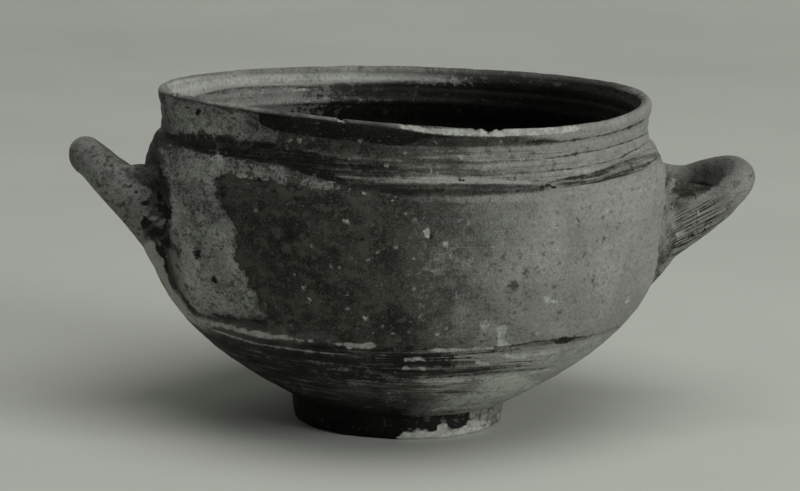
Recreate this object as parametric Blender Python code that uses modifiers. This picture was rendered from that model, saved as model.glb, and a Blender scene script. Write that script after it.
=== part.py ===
"""Two-handled bowl in fired clay.

A wheel-thrown bowl with a short flaring neck stands on a low ring foot.
Two rolled coils, bent to upturned loops, are luted to its shoulder on
opposite sides, each root pressed on with a pad of clay that is smeared
up and down the wall.

Metres, +Z up. The origin is on the bowl's axis in the plane it stands on,
and the handles lie along -X and +X.
"""
import math

import bmesh
import bpy
from mathutils import Vector

MM = 0.001

# ---------------------------------------------------------------- bowl, mm
LIP_R = 65.2            # outer radius at the lip's roll
LIP_ROLL = 1.75         # radius of the rounded lip edge
HEIGHT = 87.4           # top of the lip above the standing plane
NECK_R = 64.0           # narrowest outer radius of the neck
NECK_Z = 80.2
NECK_FOOT_Z = 77.0      # where the neck meets the shoulder
NECK_FLARE = 0.042      # outward flare of the neck, mm per mm squared
BELLY_R = 69.1          # greatest outer radius
BELLY_Z = 58.0
SHOULDER_DROP = 4.3     # inward fall of the shoulder up to the neck
SHOULDER_POWER = 3.4
BOWL_DEPTH = 66.7       # depth of the belly curve if it ran on to the axis
BOWL_POWER = 2.6
BOWL_ROUND = 0.81
BASE_Z = 4.3            # flat underside of the thrown bowl
WALL = 4.3              # wall thickness at the belly
WALL_NECK = 3.4         # wall thickness at the neck
FLOOR = 4.6             # floor thickness
TURN_STEPS = 48

# ---------------------------------------------------------------- foot, mm
FOOT_R_TOP = 28.2
FOOT_R_BOTTOM = 27.3
FOOT_R_INNER = 20.5
FOOT_EDGE = 0.9         # rounding of the standing edge
FOOT_TOP = 8.5          # the ring is made over-high, then fitted to the wall
FOOT_SHIFT = -1.0       # the foot was set a little off the bowl's axis

# ------------------------------------------------------------- handles, mm
ROD_TIP = 4.1           # rod radius at the end of the loop
ROD_ROOT = 4.9          # rod radius at the roots
LOOP_SQUARE = 0.8       # below 1 the loop's end is squarer than an ellipse
LOOP_RISE = 0.86        # how soon the arms leave the wall
LEFT_REACH = 85.1       # from the bowl's axis to the loop's end
LEFT_HALF = 18.6        # half the spacing of its two roots
LEFT_ROOT_Z, LEFT_TIP_Z = 52.6, 70.9
RIGHT_REACH = 87.4      # this loop is a little longer and lies flatter
RIGHT_HALF = 20.2
RIGHT_ROOT_Z, RIGHT_TIP_Z = 51.2, 66.0
LOOP_POINTS = 21
ROOT_INSET = 9.0        # length of rod run on into the wall before fitting

# ---------------------------------------------------------- root pads, mm
PAD_HALF = 9.0          # half width along the wall
PAD_PROUD = 6.2         # greatest height off the wall
PAD_UP = 14.0           # smear up the wall from the root
PAD_DOWN = 19.0         # smear down the wall from the root
PAD_SEGMENTS, PAD_RINGS = 16, 12

GAP = 0.3               # the slip joint between luted pieces


# ------------------------------------------------------------------ set-up
for old in list(bpy.data.objects):
    bpy.data.objects.remove(old, do_unlink=True)

parts = bpy.data.collections.new("two_handled_bowl")
tools = bpy.data.collections.new("bowl_cutters")
for coll in (parts, tools):
    bpy.context.scene.collection.children.link(coll)

frame = bpy.data.objects.new("bowl_axis", None)
parts.objects.link(frame)


def clay(name, colour, roughness):
    mat = bpy.data.materials.new(name)
    mat.use_nodes = True
    bsdf = mat.node_tree.nodes["Principled BSDF"]
    bsdf.inputs["Base Color"].default_value = (*colour, 1.0)
    bsdf.inputs["Roughness"].default_value = roughness
    bsdf.inputs["Metallic"].default_value = 0.0
    return mat


SLIP_DARK = clay("dark_slip_clay", (0.055, 0.054, 0.050), 0.50)
CLAY_BARE = clay("bare_clay", (0.20, 0.195, 0.18), 0.75)
HANDLE_CLAY = clay("handle_clay", (0.12, 0.117, 0.108), 0.62)


def finish_mesh(obj, material, smooth_angle=35.0):
    obj.data.materials.clear()
    obj.data.materials.append(material)
    obj.data.shade_smooth()
    obj.data.set_sharp_from_angle(angle=math.radians(smooth_angle))
    obj.parent = frame


def as_cutter(obj):
    obj.hide_render = True
    obj.display_type = 'WIRE'


# ------------------------------------------------------------ bowl profile
def belly_radius(z):
    """Outer radius of the wall from the base up to the greatest width."""
    k = max(0.0, (BELLY_Z - z) / BOWL_DEPTH)
    return BELLY_R * (1.0 - k ** BOWL_POWER) ** (1.0 / BOWL_ROUND)


def shoulder_radius(z):
    t = (z - BELLY_Z) / (NECK_FOOT_Z - BELLY_Z)
    return BELLY_R - SHOULDER_DROP * max(0.0, t) ** SHOULDER_POWER


def neck_radius(z):
    return NECK_R + NECK_FLARE * (z - NECK_Z) ** 2


def wall_radius(z):
    if z <= BELLY_Z:
        return belly_radius(z)
    if z <= NECK_FOOT_Z:
        return shoulder_radius(z)
    return neck_radius(z)


def lip_centre():
    return LIP_R - LIP_ROLL, HEIGHT - LIP_ROLL


def outer_profile():
    """(r, z) from the lip's roll down the outside to the base's edge."""
    points = []
    lip_z = lip_centre()[1]
    for i in range(5):
        z = lip_z - 0.6 + (NECK_FOOT_Z - lip_z + 0.6) * i / 4
        points.append((neck_radius(z), z))
    for i in range(7):
        z = NECK_FOOT_Z - 0.9 + (BELLY_Z - NECK_FOOT_Z + 0.9) * i / 6
        points.append((shoulder_radius(z), z))
    for i in range(1, 13):
        f = i / 12
        z = BELLY_Z + (BASE_Z - BELLY_Z) * f ** 0.9
        points.append((belly_radius(z), z))
    return points


def offset_profile(points, distance_at):
    """The profile moved inwards, square to itself, by distance_at(z)."""
    moved = []
    for i, (r, z) in enumerate(points):
        r0, z0 = points[max(0, i - 1)]
        r1, z1 = points[min(len(points) - 1, i + 1)]
        run = Vector((r1 - r0, z1 - z0)).normalized()
        inward = Vector((run.y, -run.x))
        d = distance_at(z)
        moved.append((r + inward.x * d, z + inward.y * d))
    return moved


def wall_thickness(z):
    t = min(1.0, max(0.0, (z - 66.0) / (NECK_Z - 66.0)))
    return WALL + (WALL_NECK - WALL) * t


def bowl_profile():
    outer = outer_profile()
    floor_z = BASE_Z + FLOOR
    inner = [(r, z) for r, z in offset_profile(outer, wall_thickness)
             if z > floor_z + 0.3]
    inner.reverse()
    lip_r, lip_z = lip_centre()
    lip = []
    for i in range(7):
        a = math.radians(200.0 - 225.0 * i / 6)
        lip.append((lip_r + LIP_ROLL * math.cos(a), lip_z + LIP_ROLL * math.sin(a)))
    inner = [p for p in inner if p[1] < lip[0][1] - 0.4]
    edge_r = inner[0][0]
    floor = [(0.0, floor_z), (edge_r * 0.5, floor_z), (edge_r * 0.86, floor_z + 0.05)]
    return floor + inner + lip + outer + [(0.0, BASE_Z)]


# ---------------------------------------------------------- turned solids
def turned(name, profile, collection, closed_loop=False, shift=0.0, steps=TURN_STEPS):
    mesh = bpy.data.meshes.new(name)
    bm = bmesh.new()
    verts = [bm.verts.new((r * MM, 0.0, z * MM)) for r, z in profile]
    for a, b in zip(verts, verts[1:]):
        bm.edges.new((a, b))
    if closed_loop:
        bm.edges.new((verts[-1], verts[0]))
    bm.to_mesh(mesh)
    bm.free()
    obj = bpy.data.objects.new(name, mesh)
    obj.location.x = shift * MM
    collection.objects.link(obj)
    screw = obj.modifiers.new("turn", 'SCREW')
    screw.axis = 'Z'
    screw.angle = math.tau
    screw.steps = screw.render_steps = steps
    screw.use_merge_vertices = True
    screw.merge_threshold = 1e-5
    screw.use_smooth_shade = True
    return obj


def clearance_profile():
    """The bowl's outside, a joint's width larger, filled solid."""
    grown = offset_profile(outer_profile(), lambda z: -GAP)
    top_r, top_z = grown[0]
    base_r, base_z = grown[-1]
    return ([(0.0, top_z)] + grown
            + [(base_r, BASE_Z - GAP), (0.0, BASE_Z - GAP)])


def foot_profile():
    run = []
    run.append((FOOT_R_TOP - 0.3, FOOT_TOP))
    run.append((FOOT_R_TOP, FOOT_TOP * 0.55))
    for i in range(5):
        a = math.radians(-90.0 * i / 4)
        run.append((FOOT_R_BOTTOM - FOOT_EDGE + FOOT_EDGE * math.cos(a),
                    FOOT_EDGE + FOOT_EDGE * math.sin(a)))
    for i in range(5):
        a = math.radians(-90.0 - 90.0 * i / 4)
        run.append((FOOT_R_INNER + FOOT_EDGE + FOOT_EDGE * math.cos(a),
                    FOOT_EDGE + FOOT_EDGE * math.sin(a)))
    run.append((FOOT_R_INNER - 0.6, FOOT_TOP))
    return run


# ----------------------------------------------------------------- handles
def loop_points(reach, half, root_z, tip_z, side):
    """Centre line of a handle and its rod radii, from one root to the other."""
    root_x = math.sqrt(BELLY_R ** 2 - half ** 2) - 1.0
    line = []
    for i in range(LOOP_POINTS):
        a = math.pi * i / (LOOP_POINTS - 1)
        c, s = math.cos(a), math.sin(a)
        y = half * math.copysign(abs(c) ** LOOP_SQUARE, c)
        rise = abs(s) ** LOOP_RISE
        x = root_x + (reach - root_x) * rise
        z = root_z + (tip_z - root_z) * rise
        rod = ROD_ROOT + (ROD_TIP - ROD_ROOT) * min(1.0, 1.3 * rise)
        line.append((Vector((side * x, -y, z)), rod))
    inset = Vector((-side * ROOT_INSET, 0.0, -0.35 * ROOT_INSET))
    first, last = line[0], line[-1]
    return ([(first[0] + inset, ROD_ROOT)] + line + [(last[0] + inset, ROD_ROOT)])


def rod_mesh(name, line, collection, grow=0.0, sides=3):
    curve = bpy.data.curves.new(name, 'CURVE')
    curve.dimensions = '3D'
    curve.bevel_depth = MM
    curve.bevel_resolution = sides
    curve.use_fill_caps = True
    spline = curve.splines.new('POLY')
    spline.points.add(len(line) - 1)
    for point, (where, rod) in zip(spline.points, line):
        point.co = (*(where * MM), 1.0)
        point.radius = rod + grow
    rod_obj = bpy.data.objects.new(name + "_line", curve)
    collection.objects.link(rod_obj)
    bpy.context.view_layer.update()
    evaluated = rod_obj.evaluated_get(bpy.context.evaluated_depsgraph_get())
    mesh = bpy.data.meshes.new_from_object(evaluated)
    bm = bmesh.new()
    bm.from_mesh(mesh)
    bmesh.ops.remove_doubles(bm, verts=bm.verts, dist=1e-6)
    bmesh.ops.recalc_face_normals(bm, faces=bm.faces)
    bm.to_mesh(mesh)
    bm.free()
    obj = bpy.data.objects.new(name, mesh)
    obj.matrix_world = rod_obj.matrix_world.copy()
    bpy.data.objects.remove(rod_obj, do_unlink=True)
    collection.objects.link(obj)
    return obj


def cut(obj, cutter, name):
    mod = obj.modifiers.new(name, 'BOOLEAN')
    mod.operation = 'DIFFERENCE'
    mod.object = cutter
    mod.solver = 'EXACT'


def root_pad(name, azimuth, root_z):
    """A smear of clay around a root: a ball drawn out along the wall."""
    mesh = bpy.data.meshes.new(name)
    bm = bmesh.new()
    bmesh.ops.create_uvsphere(bm, u_segments=PAD_SEGMENTS, v_segments=PAD_RINGS, radius=1.0)
    for v in bm.verts:
        up = v.co.z
        z = root_z + up * (PAD_UP if up > 0 else PAD_DOWN)
        taper = 1.0 - 0.45 * max(0.0, -up) ** 1.5
        along = v.co.y * PAD_HALF * taper
        proud = v.co.x * PAD_PROUD * taper
        r = wall_radius(z) + proud
        a = azimuth + along / BELLY_R
        v.co = Vector((r * math.cos(a), r * math.sin(a), z)) * MM
    bm.to_mesh(mesh)
    bm.free()
    obj = bpy.data.objects.new(name, mesh)
    parts.objects.link(obj)
    return obj


# ---------------------------------------------------------------- assembly
bowl = turned("bowl_body", bowl_profile(), parts)
finish_mesh(bowl, SLIP_DARK)

clearance = turned("wall_clearance", clearance_profile(), tools)
as_cutter(clearance)

foot = turned("foot_ring", foot_profile(), parts, closed_loop=True, shift=FOOT_SHIFT)
cut(foot, clearance, "fit_to_bowl")
finish_mesh(foot, CLAY_BARE)

for label, side, reach, half, root_z, tip_z in (
        ("left", -1, LEFT_REACH, LEFT_HALF, LEFT_ROOT_Z, LEFT_TIP_Z),
        ("right", 1, RIGHT_REACH, RIGHT_HALF, RIGHT_ROOT_Z, RIGHT_TIP_Z)):
    line = loop_points(reach, half, root_z, tip_z, side)
    handle = rod_mesh("handle_" + label, line, parts)
    cut(handle, clearance, "fit_to_wall")
    finish_mesh(handle, HANDLE_CLAY)

    rod_clearance = rod_mesh("rod_clearance_" + label, line, tools, grow=GAP)
    as_cutter(rod_clearance)

    half_angle = math.asin(half / BELLY_R)
    for place, way in (("front", -1), ("back", 1)):
        azimuth = way * half_angle if side > 0 else math.pi - way * half_angle
        pad = root_pad("root_pad_%s_%s" % (label, place), azimuth, root_z + 1.0)
        cut(pad, clearance, "fit_to_wall")
        cut(pad, rod_clearance, "fit_to_rod")
        finish_mesh(pad, HANDLE_CLAY)

bpy.context.view_layer.update()
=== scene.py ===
"""Looks of the two-handled bowl: worn dark paint on pale fired clay.

The shapes are made in millimetres in a view frame, which is the part's own
frame turned about its axis so that the camera looks along +Y. Outlines of the
worn paint, and of a few places where light and shade are painted in, are given
in picture pixels of an 800 x 491 frame, thrown onto the surface through that
camera, and kept as fields on the mesh points. The materials turn those fields
into ragged paint edges, streaks and chips, and into those painted highlights
and shades.
"""

import math

import bpy
import bmesh
import numpy as np
from mathutils import Matrix, Vector


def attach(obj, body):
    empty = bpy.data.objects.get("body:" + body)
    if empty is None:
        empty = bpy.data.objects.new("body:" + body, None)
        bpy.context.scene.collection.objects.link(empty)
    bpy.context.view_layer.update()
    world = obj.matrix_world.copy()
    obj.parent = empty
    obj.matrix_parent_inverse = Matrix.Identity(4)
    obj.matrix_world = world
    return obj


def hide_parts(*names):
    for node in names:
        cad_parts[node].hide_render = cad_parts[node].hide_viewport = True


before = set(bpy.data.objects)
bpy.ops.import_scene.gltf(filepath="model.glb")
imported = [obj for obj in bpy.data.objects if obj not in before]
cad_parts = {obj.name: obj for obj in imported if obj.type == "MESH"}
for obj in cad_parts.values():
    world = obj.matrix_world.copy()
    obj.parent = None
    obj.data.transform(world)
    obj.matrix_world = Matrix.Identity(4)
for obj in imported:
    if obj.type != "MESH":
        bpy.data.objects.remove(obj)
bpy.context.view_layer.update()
scene = bpy.context.scene

# ------------------------------------------------------------------ camera
TURN = math.radians(7.4)            # the part's own frame to the view frame
EYE = np.array([-1.29, -705.8, 172.8])
PITCH = math.radians(10.171)
ROLL = math.radians(1.176)
FOCAL = 2693.5                      # pixels
WIDE, HIGH = 800.0, 491.0
LOOK = np.array([0.0, math.cos(PITCH), -math.sin(PITCH)])
UP0 = np.array([0.0, math.sin(PITCH), math.cos(PITCH)])
RIGHT0 = np.array([1.0, 0.0, 0.0])
CAM_X = RIGHT0 * math.cos(ROLL) + UP0 * math.sin(ROLL)
CAM_Y = UP0 * math.cos(ROLL) - RIGHT0 * math.sin(ROLL)


def to_px(p):
    """View-frame points in mm to picture pixels."""
    d = p - EYE
    depth = d @ LOOK
    return np.stack([WIDE / 2 + FOCAL * (d @ CAM_X) / depth,
                     HIGH / 2 - FOCAL * (d @ CAM_Y) / depth], -1)


def to_part(p):
    """View-frame points in mm to the part's own frame in metres."""
    c, s = math.cos(TURN), math.sin(TURN)
    q = np.empty_like(p)
    q[:, 0] = p[:, 0] * c + p[:, 1] * s
    q[:, 1] = -p[:, 0] * s + p[:, 1] * c
    q[:, 2] = p[:, 2]
    return q * 0.001


# ------------------------------------------------------------- small maths
def smooth(a, b, x):
    t = np.clip((x - a) / (b - a), 0.0, 1.0)
    return t * t * (3.0 - 2.0 * t)


def bump_at(x, centre, half):
    return np.exp(-((x - centre) / half) ** 2)


def lattice(ix, iy, iz, seed):
    m = np.uint64(0xFFFFFFFF)
    h = (ix.astype(np.uint64) * np.uint64(374761393)
         + iy.astype(np.uint64) * np.uint64(668265263)
         + iz.astype(np.uint64) * np.uint64(1440662683)
         + np.uint64(seed * 974634777 % 4294967291)) & m
    h = ((h ^ (h >> np.uint64(13))) * np.uint64(1274126177)) & m
    h = ((h ^ (h >> np.uint64(15))) * np.uint64(2246822519)) & m
    h = h ^ (h >> np.uint64(16))
    return (h & np.uint64(0xFFFFFF)).astype(float) / 16777215.0


def noise3(p, size, seed):
    """Smooth value noise, 0 to 1, with cells of the given size in mm."""
    q = p / size + 4096.0
    i = np.floor(q)
    f = q - i
    f = f * f * f * (f * (f * 6.0 - 15.0) + 10.0)
    i = i.astype(np.int64)
    out = np.zeros(len(p))
    for dx in (0, 1):
        for dy in (0, 1):
            for dz in (0, 1):
                w = ((f[:, 0] if dx else 1 - f[:, 0])
                     * (f[:, 1] if dy else 1 - f[:, 1])
                     * (f[:, 2] if dz else 1 - f[:, 2]))
                out += w * lattice(i[:, 0] + dx, i[:, 1] + dy, i[:, 2] + dz, seed)
    return out


def fbm(p, size, seed, octaves=3):
    total, amp, norm = np.zeros(len(p)), 1.0, 0.0
    for k in range(octaves):
        total += amp * noise3(p, size / 2 ** k, seed + 17 * k)
        norm += amp
        amp *= 0.5
    return total / norm


def sd_poly(p, poly):
    """Signed distance to an outline, positive inside."""
    poly = np.asarray(poly, float)
    d = np.full(len(p), 1e9)
    inside = np.zeros(len(p), bool)
    n = len(poly)
    for k in range(n):
        a, b = poly[k], poly[(k + 1) % n]
        e, w = b - a, p - a
        t = np.clip((w @ e) / max(e @ e, 1e-9), 0, 1)
        d = np.minimum(d, np.hypot(*(w - t[:, None] * e).T))
        cross = (a[1] > p[:, 1]) != (b[1] > p[:, 1])
        xx = a[0] + (p[:, 1] - a[1]) / (b[1] - a[1] if b[1] != a[1] else 1e-9) * e[0]
        inside ^= cross & (p[:, 0] < xx)
    return np.where(inside, d, -d)


def sd_line(p, pts, widths):
    """Distance inside a stroke of changing width, positive inside."""
    best = np.full(len(p), -1e9)
    pts = np.asarray(pts, float)
    for k in range(len(pts) - 1):
        a, e = pts[k], pts[k + 1] - pts[k]
        w = p - a
        t = np.clip((w @ e) / max(e @ e, 1e-9), 0, 1)
        d = np.hypot(*(w - t[:, None] * e).T)
        hw = 0.5 * (widths[k] + (widths[k + 1] - widths[k]) * t)
        best = np.maximum(best, hw - d)
    return best


def sd_blob(p, x, y, a, b, lean=0.0):
    c, s = math.cos(lean), math.sin(lean)
    u, v = p[:, 0] - x, p[:, 1] - y
    u, v = u * c + v * s, -u * s + v * c
    k = np.hypot(u / a, v / b)
    return (1.0 - k) * min(a, b)


def lerp_at(x, stations):
    xs, ys = zip(*stations)
    return np.interp(x, xs, ys)


# ------------------------------------------------------------- bowl's form
LIP_R, LIP_ROLL, TOP = 64.9, 1.5, 87.4
NECK_R, NECK_Z, NECK_FOOT_Z, NECK_FLARE = 64.0, 80.2, 76.3, 0.038
BELLY_R, BELLY_Z = 69.1, 58.0
SHOULDER_DROP, SHOULDER_POWER = 4.3, 3.4
BOWL_DEPTH, BOWL_POWER, BOWL_ROUND = 66.7, 2.6, 0.81
BASE_Z, WALL, WALL_NECK, FLOOR = 4.3, 4.3, 3.4, 4.6
RIM_SHIFT = -0.75
COLUMNS = 392


def plain_radius(z):
    z = np.asarray(z, float)
    k = np.clip((BELLY_Z - z) / BOWL_DEPTH, 0.0, 1.0)
    low = BELLY_R * (1.0 - k ** BOWL_POWER) ** (1.0 / BOWL_ROUND)
    t = np.clip((z - BELLY_Z) / (NECK_FOOT_Z - BELLY_Z), 0.0, 1.2)
    high = BELLY_R - SHOULDER_DROP * t ** SHOULDER_POWER
    body = np.where(z <= BELLY_Z, low, high)
    neck = NECK_R + NECK_FLARE * (z - NECK_Z) ** 2
    w = smooth(75.1, 76.9, z)
    return body * (1 - w) + neck * w


def turned_radius(z):
    """The outside with its grooves and the ridges of the wheel."""
    z = np.asarray(z, float)
    r = plain_radius(z)
    r = r - 0.38 * bump_at(z, 76.4, 0.55)
    r = r + 0.16 * bump_at(z, 74.8, 0.8)
    r = r - 0.16 * bump_at(z, 82.6, 0.5) - 0.12 * bump_at(z, 79.6, 0.45)
    r = r - 0.10 * bump_at(z, 73.2, 0.45) + 0.08 * bump_at(z, 71.9, 0.7)
    for zz, deep in ((31.2, 0.10), (29.4, 0.12), (27.2, 0.10), (24.9, 0.14), (22.3, 0.10), (19.6, 0.10), (16.2, 0.08)):
        r = r - deep * bump_at(z, zz, 0.42)
    r = r + 0.05 * np.sin(z * 2.1) + 0.04 * np.sin(z * 0.93 + 1.0)
    return r


def inner_table():
    z = np.linspace(86.0, BASE_Z, 500)
    r = plain_radius(z)
    dr, dz = np.gradient(r), np.gradient(z)
    n = np.hypot(dr, dz)
    t = WALL + (WALL_NECK - WALL) * smooth(66.0, NECK_Z, z)
    ri, zi = r + dz / n * t, z - dr / n * t
    o = np.argsort(zi)
    return zi[o], ri[o]


INNER_Z, INNER_R = inner_table()


def inner_radius(z):
    r = np.interp(z, INNER_Z, INNER_R)
    r = r - 0.75 * bump_at(z, 77.6, 1.1) + 0.22 * bump_at(z, 81.6, 0.5)
    return r + 0.07 * np.sin(z * 1.7) + 0.05 * np.sin(z * 0.8)


def bowl_rows():
    """(r, z, zone) down the section: inside floor, inside, lip, outside, base."""
    rows = []
    floor_z = BASE_Z + FLOOR
    for f in (0.12, 0.26, 0.42, 0.58, 0.74, 0.88):
        rows.append((25.5 * f, floor_z + 0.05 * f, 0))
    for z in np.concatenate([np.arange(9.4, 58.0, 2.5), np.arange(58.5, 74.5, 1.25), np.arange(74.7, 84.6, 0.45)]):
        rows.append((float(inner_radius(z)), float(z), 0))
    cr, cz = LIP_R - LIP_ROLL, TOP - LIP_ROLL
    for a in np.radians(np.linspace(196, -24, 17)):
        rows.append((cr + LIP_ROLL * math.cos(a), cz + LIP_ROLL * math.sin(a), 1))
    zs = np.concatenate([np.arange(84.55, 77.0, -0.32), np.arange(77.0, 67.0, -0.25), np.arange(67.0, 34.0, -1.0),
                         np.arange(34.0, 17.0, -0.36), np.arange(17.0, 4.4, -0.55)])
    for z in zs:
        rows.append((float(turned_radius(z)), float(z), 2))
    for f in (1.0, 0.8, 0.55, 0.3, 0.12):
        rows.append((24.4 * f, BASE_Z, 3))
    return rows


# ------------------------------------------------- worn paint, in pixels
LIGHT_PANEL = [(160, 146), (181, 149.5), (205, 154), (226, 157), (243, 160), (250, 164), (262, 163.5), (278, 167), (292, 169),
               (301, 173.5), (312, 178), (322, 179), (326, 185), (331, 179.5), (334, 179.5), (335, 184), (342, 188.5),
               (322, 189), (305, 187), (290, 184), (277, 182.5), (271, 177), (266, 181), (262, 176), (253, 179), (247, 177.5),
               (240, 175.5), (226, 174.5), (215, 177), (216, 193), (221, 206), (229, 214), (236, 227), (235, 252),
               (241, 270), (245, 281), (256, 301), (266, 315), (252, 319), (240, 318), (226, 312), (223, 317),
               (200, 313), (195, 308), (190, 300), (185, 285), (180, 268), (177, 247), (168, 226), (171, 206),
               (172, 193), (166, 170)]
# the panel's upper arm, where a thin stain is left on the clay
STAINED = [(222, 148), (262, 156), (310, 168), (350, 178), (352, 196), (300, 194), (255, 186), (222, 180)]
STAINED_LEFT = [(156, 142), (184, 146), (186, 170), (182, 198), (170, 204), (160, 190)]
NECK_PANEL = [(150, 90), (163, 95), (200, 104), (258, 114), (259, 121), (262, 125), (277, 130), (279, 134),
              (275, 142), (256, 141), (226, 136), (200, 132.5), (175, 131), (150, 130)]


EDGE_STRIP = [(140, 244), (150, 247), (157, 256), (163, 268), (169, 281), (177, 293), (184, 303), (196, 314), (210, 322),
              (212, 330), (190, 322), (165, 300), (140, 270)]
LOW_WASH = [(186, 308), (230, 322), (280, 328), (330, 335), (338, 344), (290, 344), (235, 337), (196, 326)]
# pale strip along the left contour: painted highlight, the edge drawn lighter as though it caught the light
EDGE_HIGHLIGHT = [(145, 241), (151, 242), (158, 254), (162, 262), (166, 274), (170, 284), (175, 293), (182, 299), (190, 309), (196, 317),
             (186, 319), (172, 303), (162, 290), (154, 277), (149, 264), (144, 250)]


def body_strength(p):
    """How much of the dark paint is left, 0 to 1."""
    x, y = p[:, 0], p[:, 1]
    body = lerp_at(x, [(140, 1.0), (300, 1.0), (390, 0.95), (430, 0.74), (480, 0.48), (520, 0.33), (560, 0.24),
                       (610, 0.18), (660, 0.09)])
    neck = lerp_at(x, [(140, 1.0), (300, 1.0), (360, 0.92), (420, 0.70), (480, 0.47), (520, 0.34), (560, 0.21),
                       (610, 0.10), (660, 0.07)])
    low = lerp_at(x, [(140, 1.0), (370, 1.0), (410, 0.78), (440, 0.50), (480, 0.19), (520, 0.04), (560, 0.0), (620, 0.0)])
    s = neck + (body - neck) * smooth(182, 200, y)
    s = s + (low - s) * smooth(340, 356, y)
    return s


INK = [
    # band under the lip: black where the paint was left, thin to the right
    ([(400, 139), (445, 140.5), (493, 140.5), (532, 140.5), (566, 141.5)], [13, 13, 12, 9, 3], 0.12),
    ([(398, 133.5), (425, 136), (450, 138)], [4, 5, 2], 0.95),
    # band at the foot of the neck
    ([(158, 137), (181, 140), (210, 144), (246, 151), (278, 154), (305, 160), (340, 166), (378, 171)],
     [7, 12, 17, 18, 20, 18, 15, 6], 0.53),
    ([(166, 142), (200, 150), (246, 158), (276, 162)], [2, 3, 3.5, 3], 0.8),
    ([(278, 161), (300, 168), (327, 175), (345, 183)], [4, 7, 9, 5], 0.85),
    # soft band under the shoulder's light streak
    ([(336, 186), (372, 188), (400, 190), (468, 190), (525, 188.5), (548, 188)], [6, 8, 10, 11, 8, 3], 0.20),
    ([(376, 188.5), (410, 190), (440, 190)], [7, 9, 8], 0.34),
    # left: tapered line down from the handle's root, then a hair line
    ([(159, 247), (162, 256), (165, 262), (167, 268), (170, 277), (173, 284), (176.5, 290.5), (179, 295)],
     [9, 7, 5.5, 4.6, 5, 5.5, 4.4, 1.5], 1.1),
    ([(183, 296), (188, 303.5), (193, 310), (198, 314.5), (208, 316.5), (223, 318), (240, 321), (262, 322)],
     [3, 4, 4.5, 5, 4, 3, 4, 3], 0.80),
    # lower bands, left
    ([(206, 324), (226, 331), (246, 337), (266, 341), (300, 345.5), (330, 348)], [1.6, 3, 4, 5, 4, 3], 0.75),
    ([(222, 336), (256, 349), (300, 357), (350, 361), (400, 363)], [2, 5, 7, 5, 4], 0.70),
    ([(250, 358), (300, 368), (350, 372), (400, 373)], [3, 4, 4, 4], 0.70),
    # lower bands, right
    ([(372, 350), (400, 348), (425, 348)], [2, 4, 3.6], 0.9),
    ([(556, 341.5), (564, 340), (573, 338.5)], [4, 6.0, 3], 0.9),
    ([(400, 355.5), (430, 356), (470, 357)], [3, 3.5, 2], 0.65),
]
# brush lines that run together to the right: y along x, half width in pixels, where each begins
FAN = [
    ([(480, 144), (529, 142), (542, 141.2), (563, 141.8), (579, 139.6), (590, 137.4), (606, 134.8), (622, 130.6), (635, 125.8),
      (643, 120.8), (665, 107)], [(520, 0.0), (530, 1.1), (560, 1.1), (572, 0.8), (600, 0.75), (616, 0.95), (632, 1.25), (642, 1.0), (646, 0.0)]),
    ([(480, 163), (548, 158), (568, 155.6), (577, 153.5), (600, 150), (614, 146), (630, 141.2), (648, 133.2), (665, 126)],
     [(540, 0.0), (552, 0.5), (566, 0.9), (576, 0.9), (598, 0.7), (606, 0.4), (620, 0.45), (640, 0.5), (652, 0.3)]),
    ([(480, 175), (542, 171.6), (558, 170), (574, 168.4), (590, 165.2), (606, 162), (622, 157.2), (638, 148.4), (646, 142.8), (665, 130)],
     [(535, 0.0), (545, 0.4), (590, 0.45), (622, 0.5), (640, 0.5), (650, 0.2)]),
    ([(480, 188), (548, 182.5), (556, 181.2), (568, 178.6), (587, 175.6), (604, 170.2), (616, 165), (630, 159.8), (645, 154.5), (665, 147)],
     [(548, 0.0), (558, 0.8), (568, 1.1), (590, 1.2), (604, 1.1), (616, 0.9), (630, 0.6), (642, 0.3), (652, 0.0)]),
    ([(480, 195), (548, 188), (566, 184.8), (587, 181.6), (604, 178.4), (628, 171.4), (646, 165.2), (652, 161.5), (659, 156.2), (665, 151)],
     [(560, 0.0), (568, 0.5), (590, 0.8), (604, 0.7), (620, 0.9), (640, 1.2), (650, 1.6), (660, 1.2), (664, 0.4)]),
]
# loose hairs of the brush beside the lowest line: upper and lower edge of the sheaf
SHEAF_TOP = [(540, 181), (566, 177.5), (582, 174.5), (598, 170.5), (611, 165.5), (622, 160.5), (635, 154), (647, 149), (660, 146)]
SHEAF_FOOT = [(540, 189), (558, 189.2), (582, 185.6), (600, 183), (614, 179.4), (630, 175.4), (643, 171.4), (658, 165), (665, 161)]


# thin lines low on the bowl; a half width below nought is a pale line
FAN_LOW = [
    ([(400, 356), (440, 353), (458, 351), (483, 347.6), (514, 345.9), (537, 341.7), (554, 339.9), (565, 338.8), (582, 336.9),
      (599, 334), (613, 330.4), (622, 324.5), (640, 312)],
     [(440, 0.0), (460, 0.7), (500, 0.9), (530, 0.8), (555, 1.2), (575, 1.4), (590, 0.8), (612, 0.6), (624, 0.3)]),
    ([(400, 358.5), (440, 356), (458, 354.4), (506, 351), (531, 346.6), (560, 343.6), (640, 322)],
     [(420, 0.0), (450, 0.8), (480, 0.7), (500, 0.6), (512, 0.2), (524, 0.5), (535, 0.0)]),
    ([(400, 364.5), (440, 364), (475, 363.6), (514, 362), (543, 360.6), (640, 350)],
     [(400, 0.7), (430, 0.8), (455, 0.5), (480, 0.1), (500, 0.4), (530, 0.6), (546, 0.0)]),
    ([(400, 374.5), (440, 373.2), (461, 372.2), (483, 369.4), (503, 367.1), (523, 365.7), (540, 364.3), (640, 358)],
     [(400, 0.9), (440, 1.0), (465, 1.3), (485, 1.0), (520, 0.6), (543, 0.0)]),
    ([(400, 379), (441, 376.4), (464, 375.2), (492, 372.5), (520, 370.2), (543, 368), (640, 362)],
     [(410, 0.0), (436, 0.7), (464, 0.9), (500, 0.7), (530, 0.6), (548, 0.0)]),
    ([(400, 393), (449, 392.6), (483, 392), (509, 391.2), (560, 388), (640, 380)], [(430, 0.0), (455, 0.4), (500, 0.5), (520, 0.0)]),
]
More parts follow.
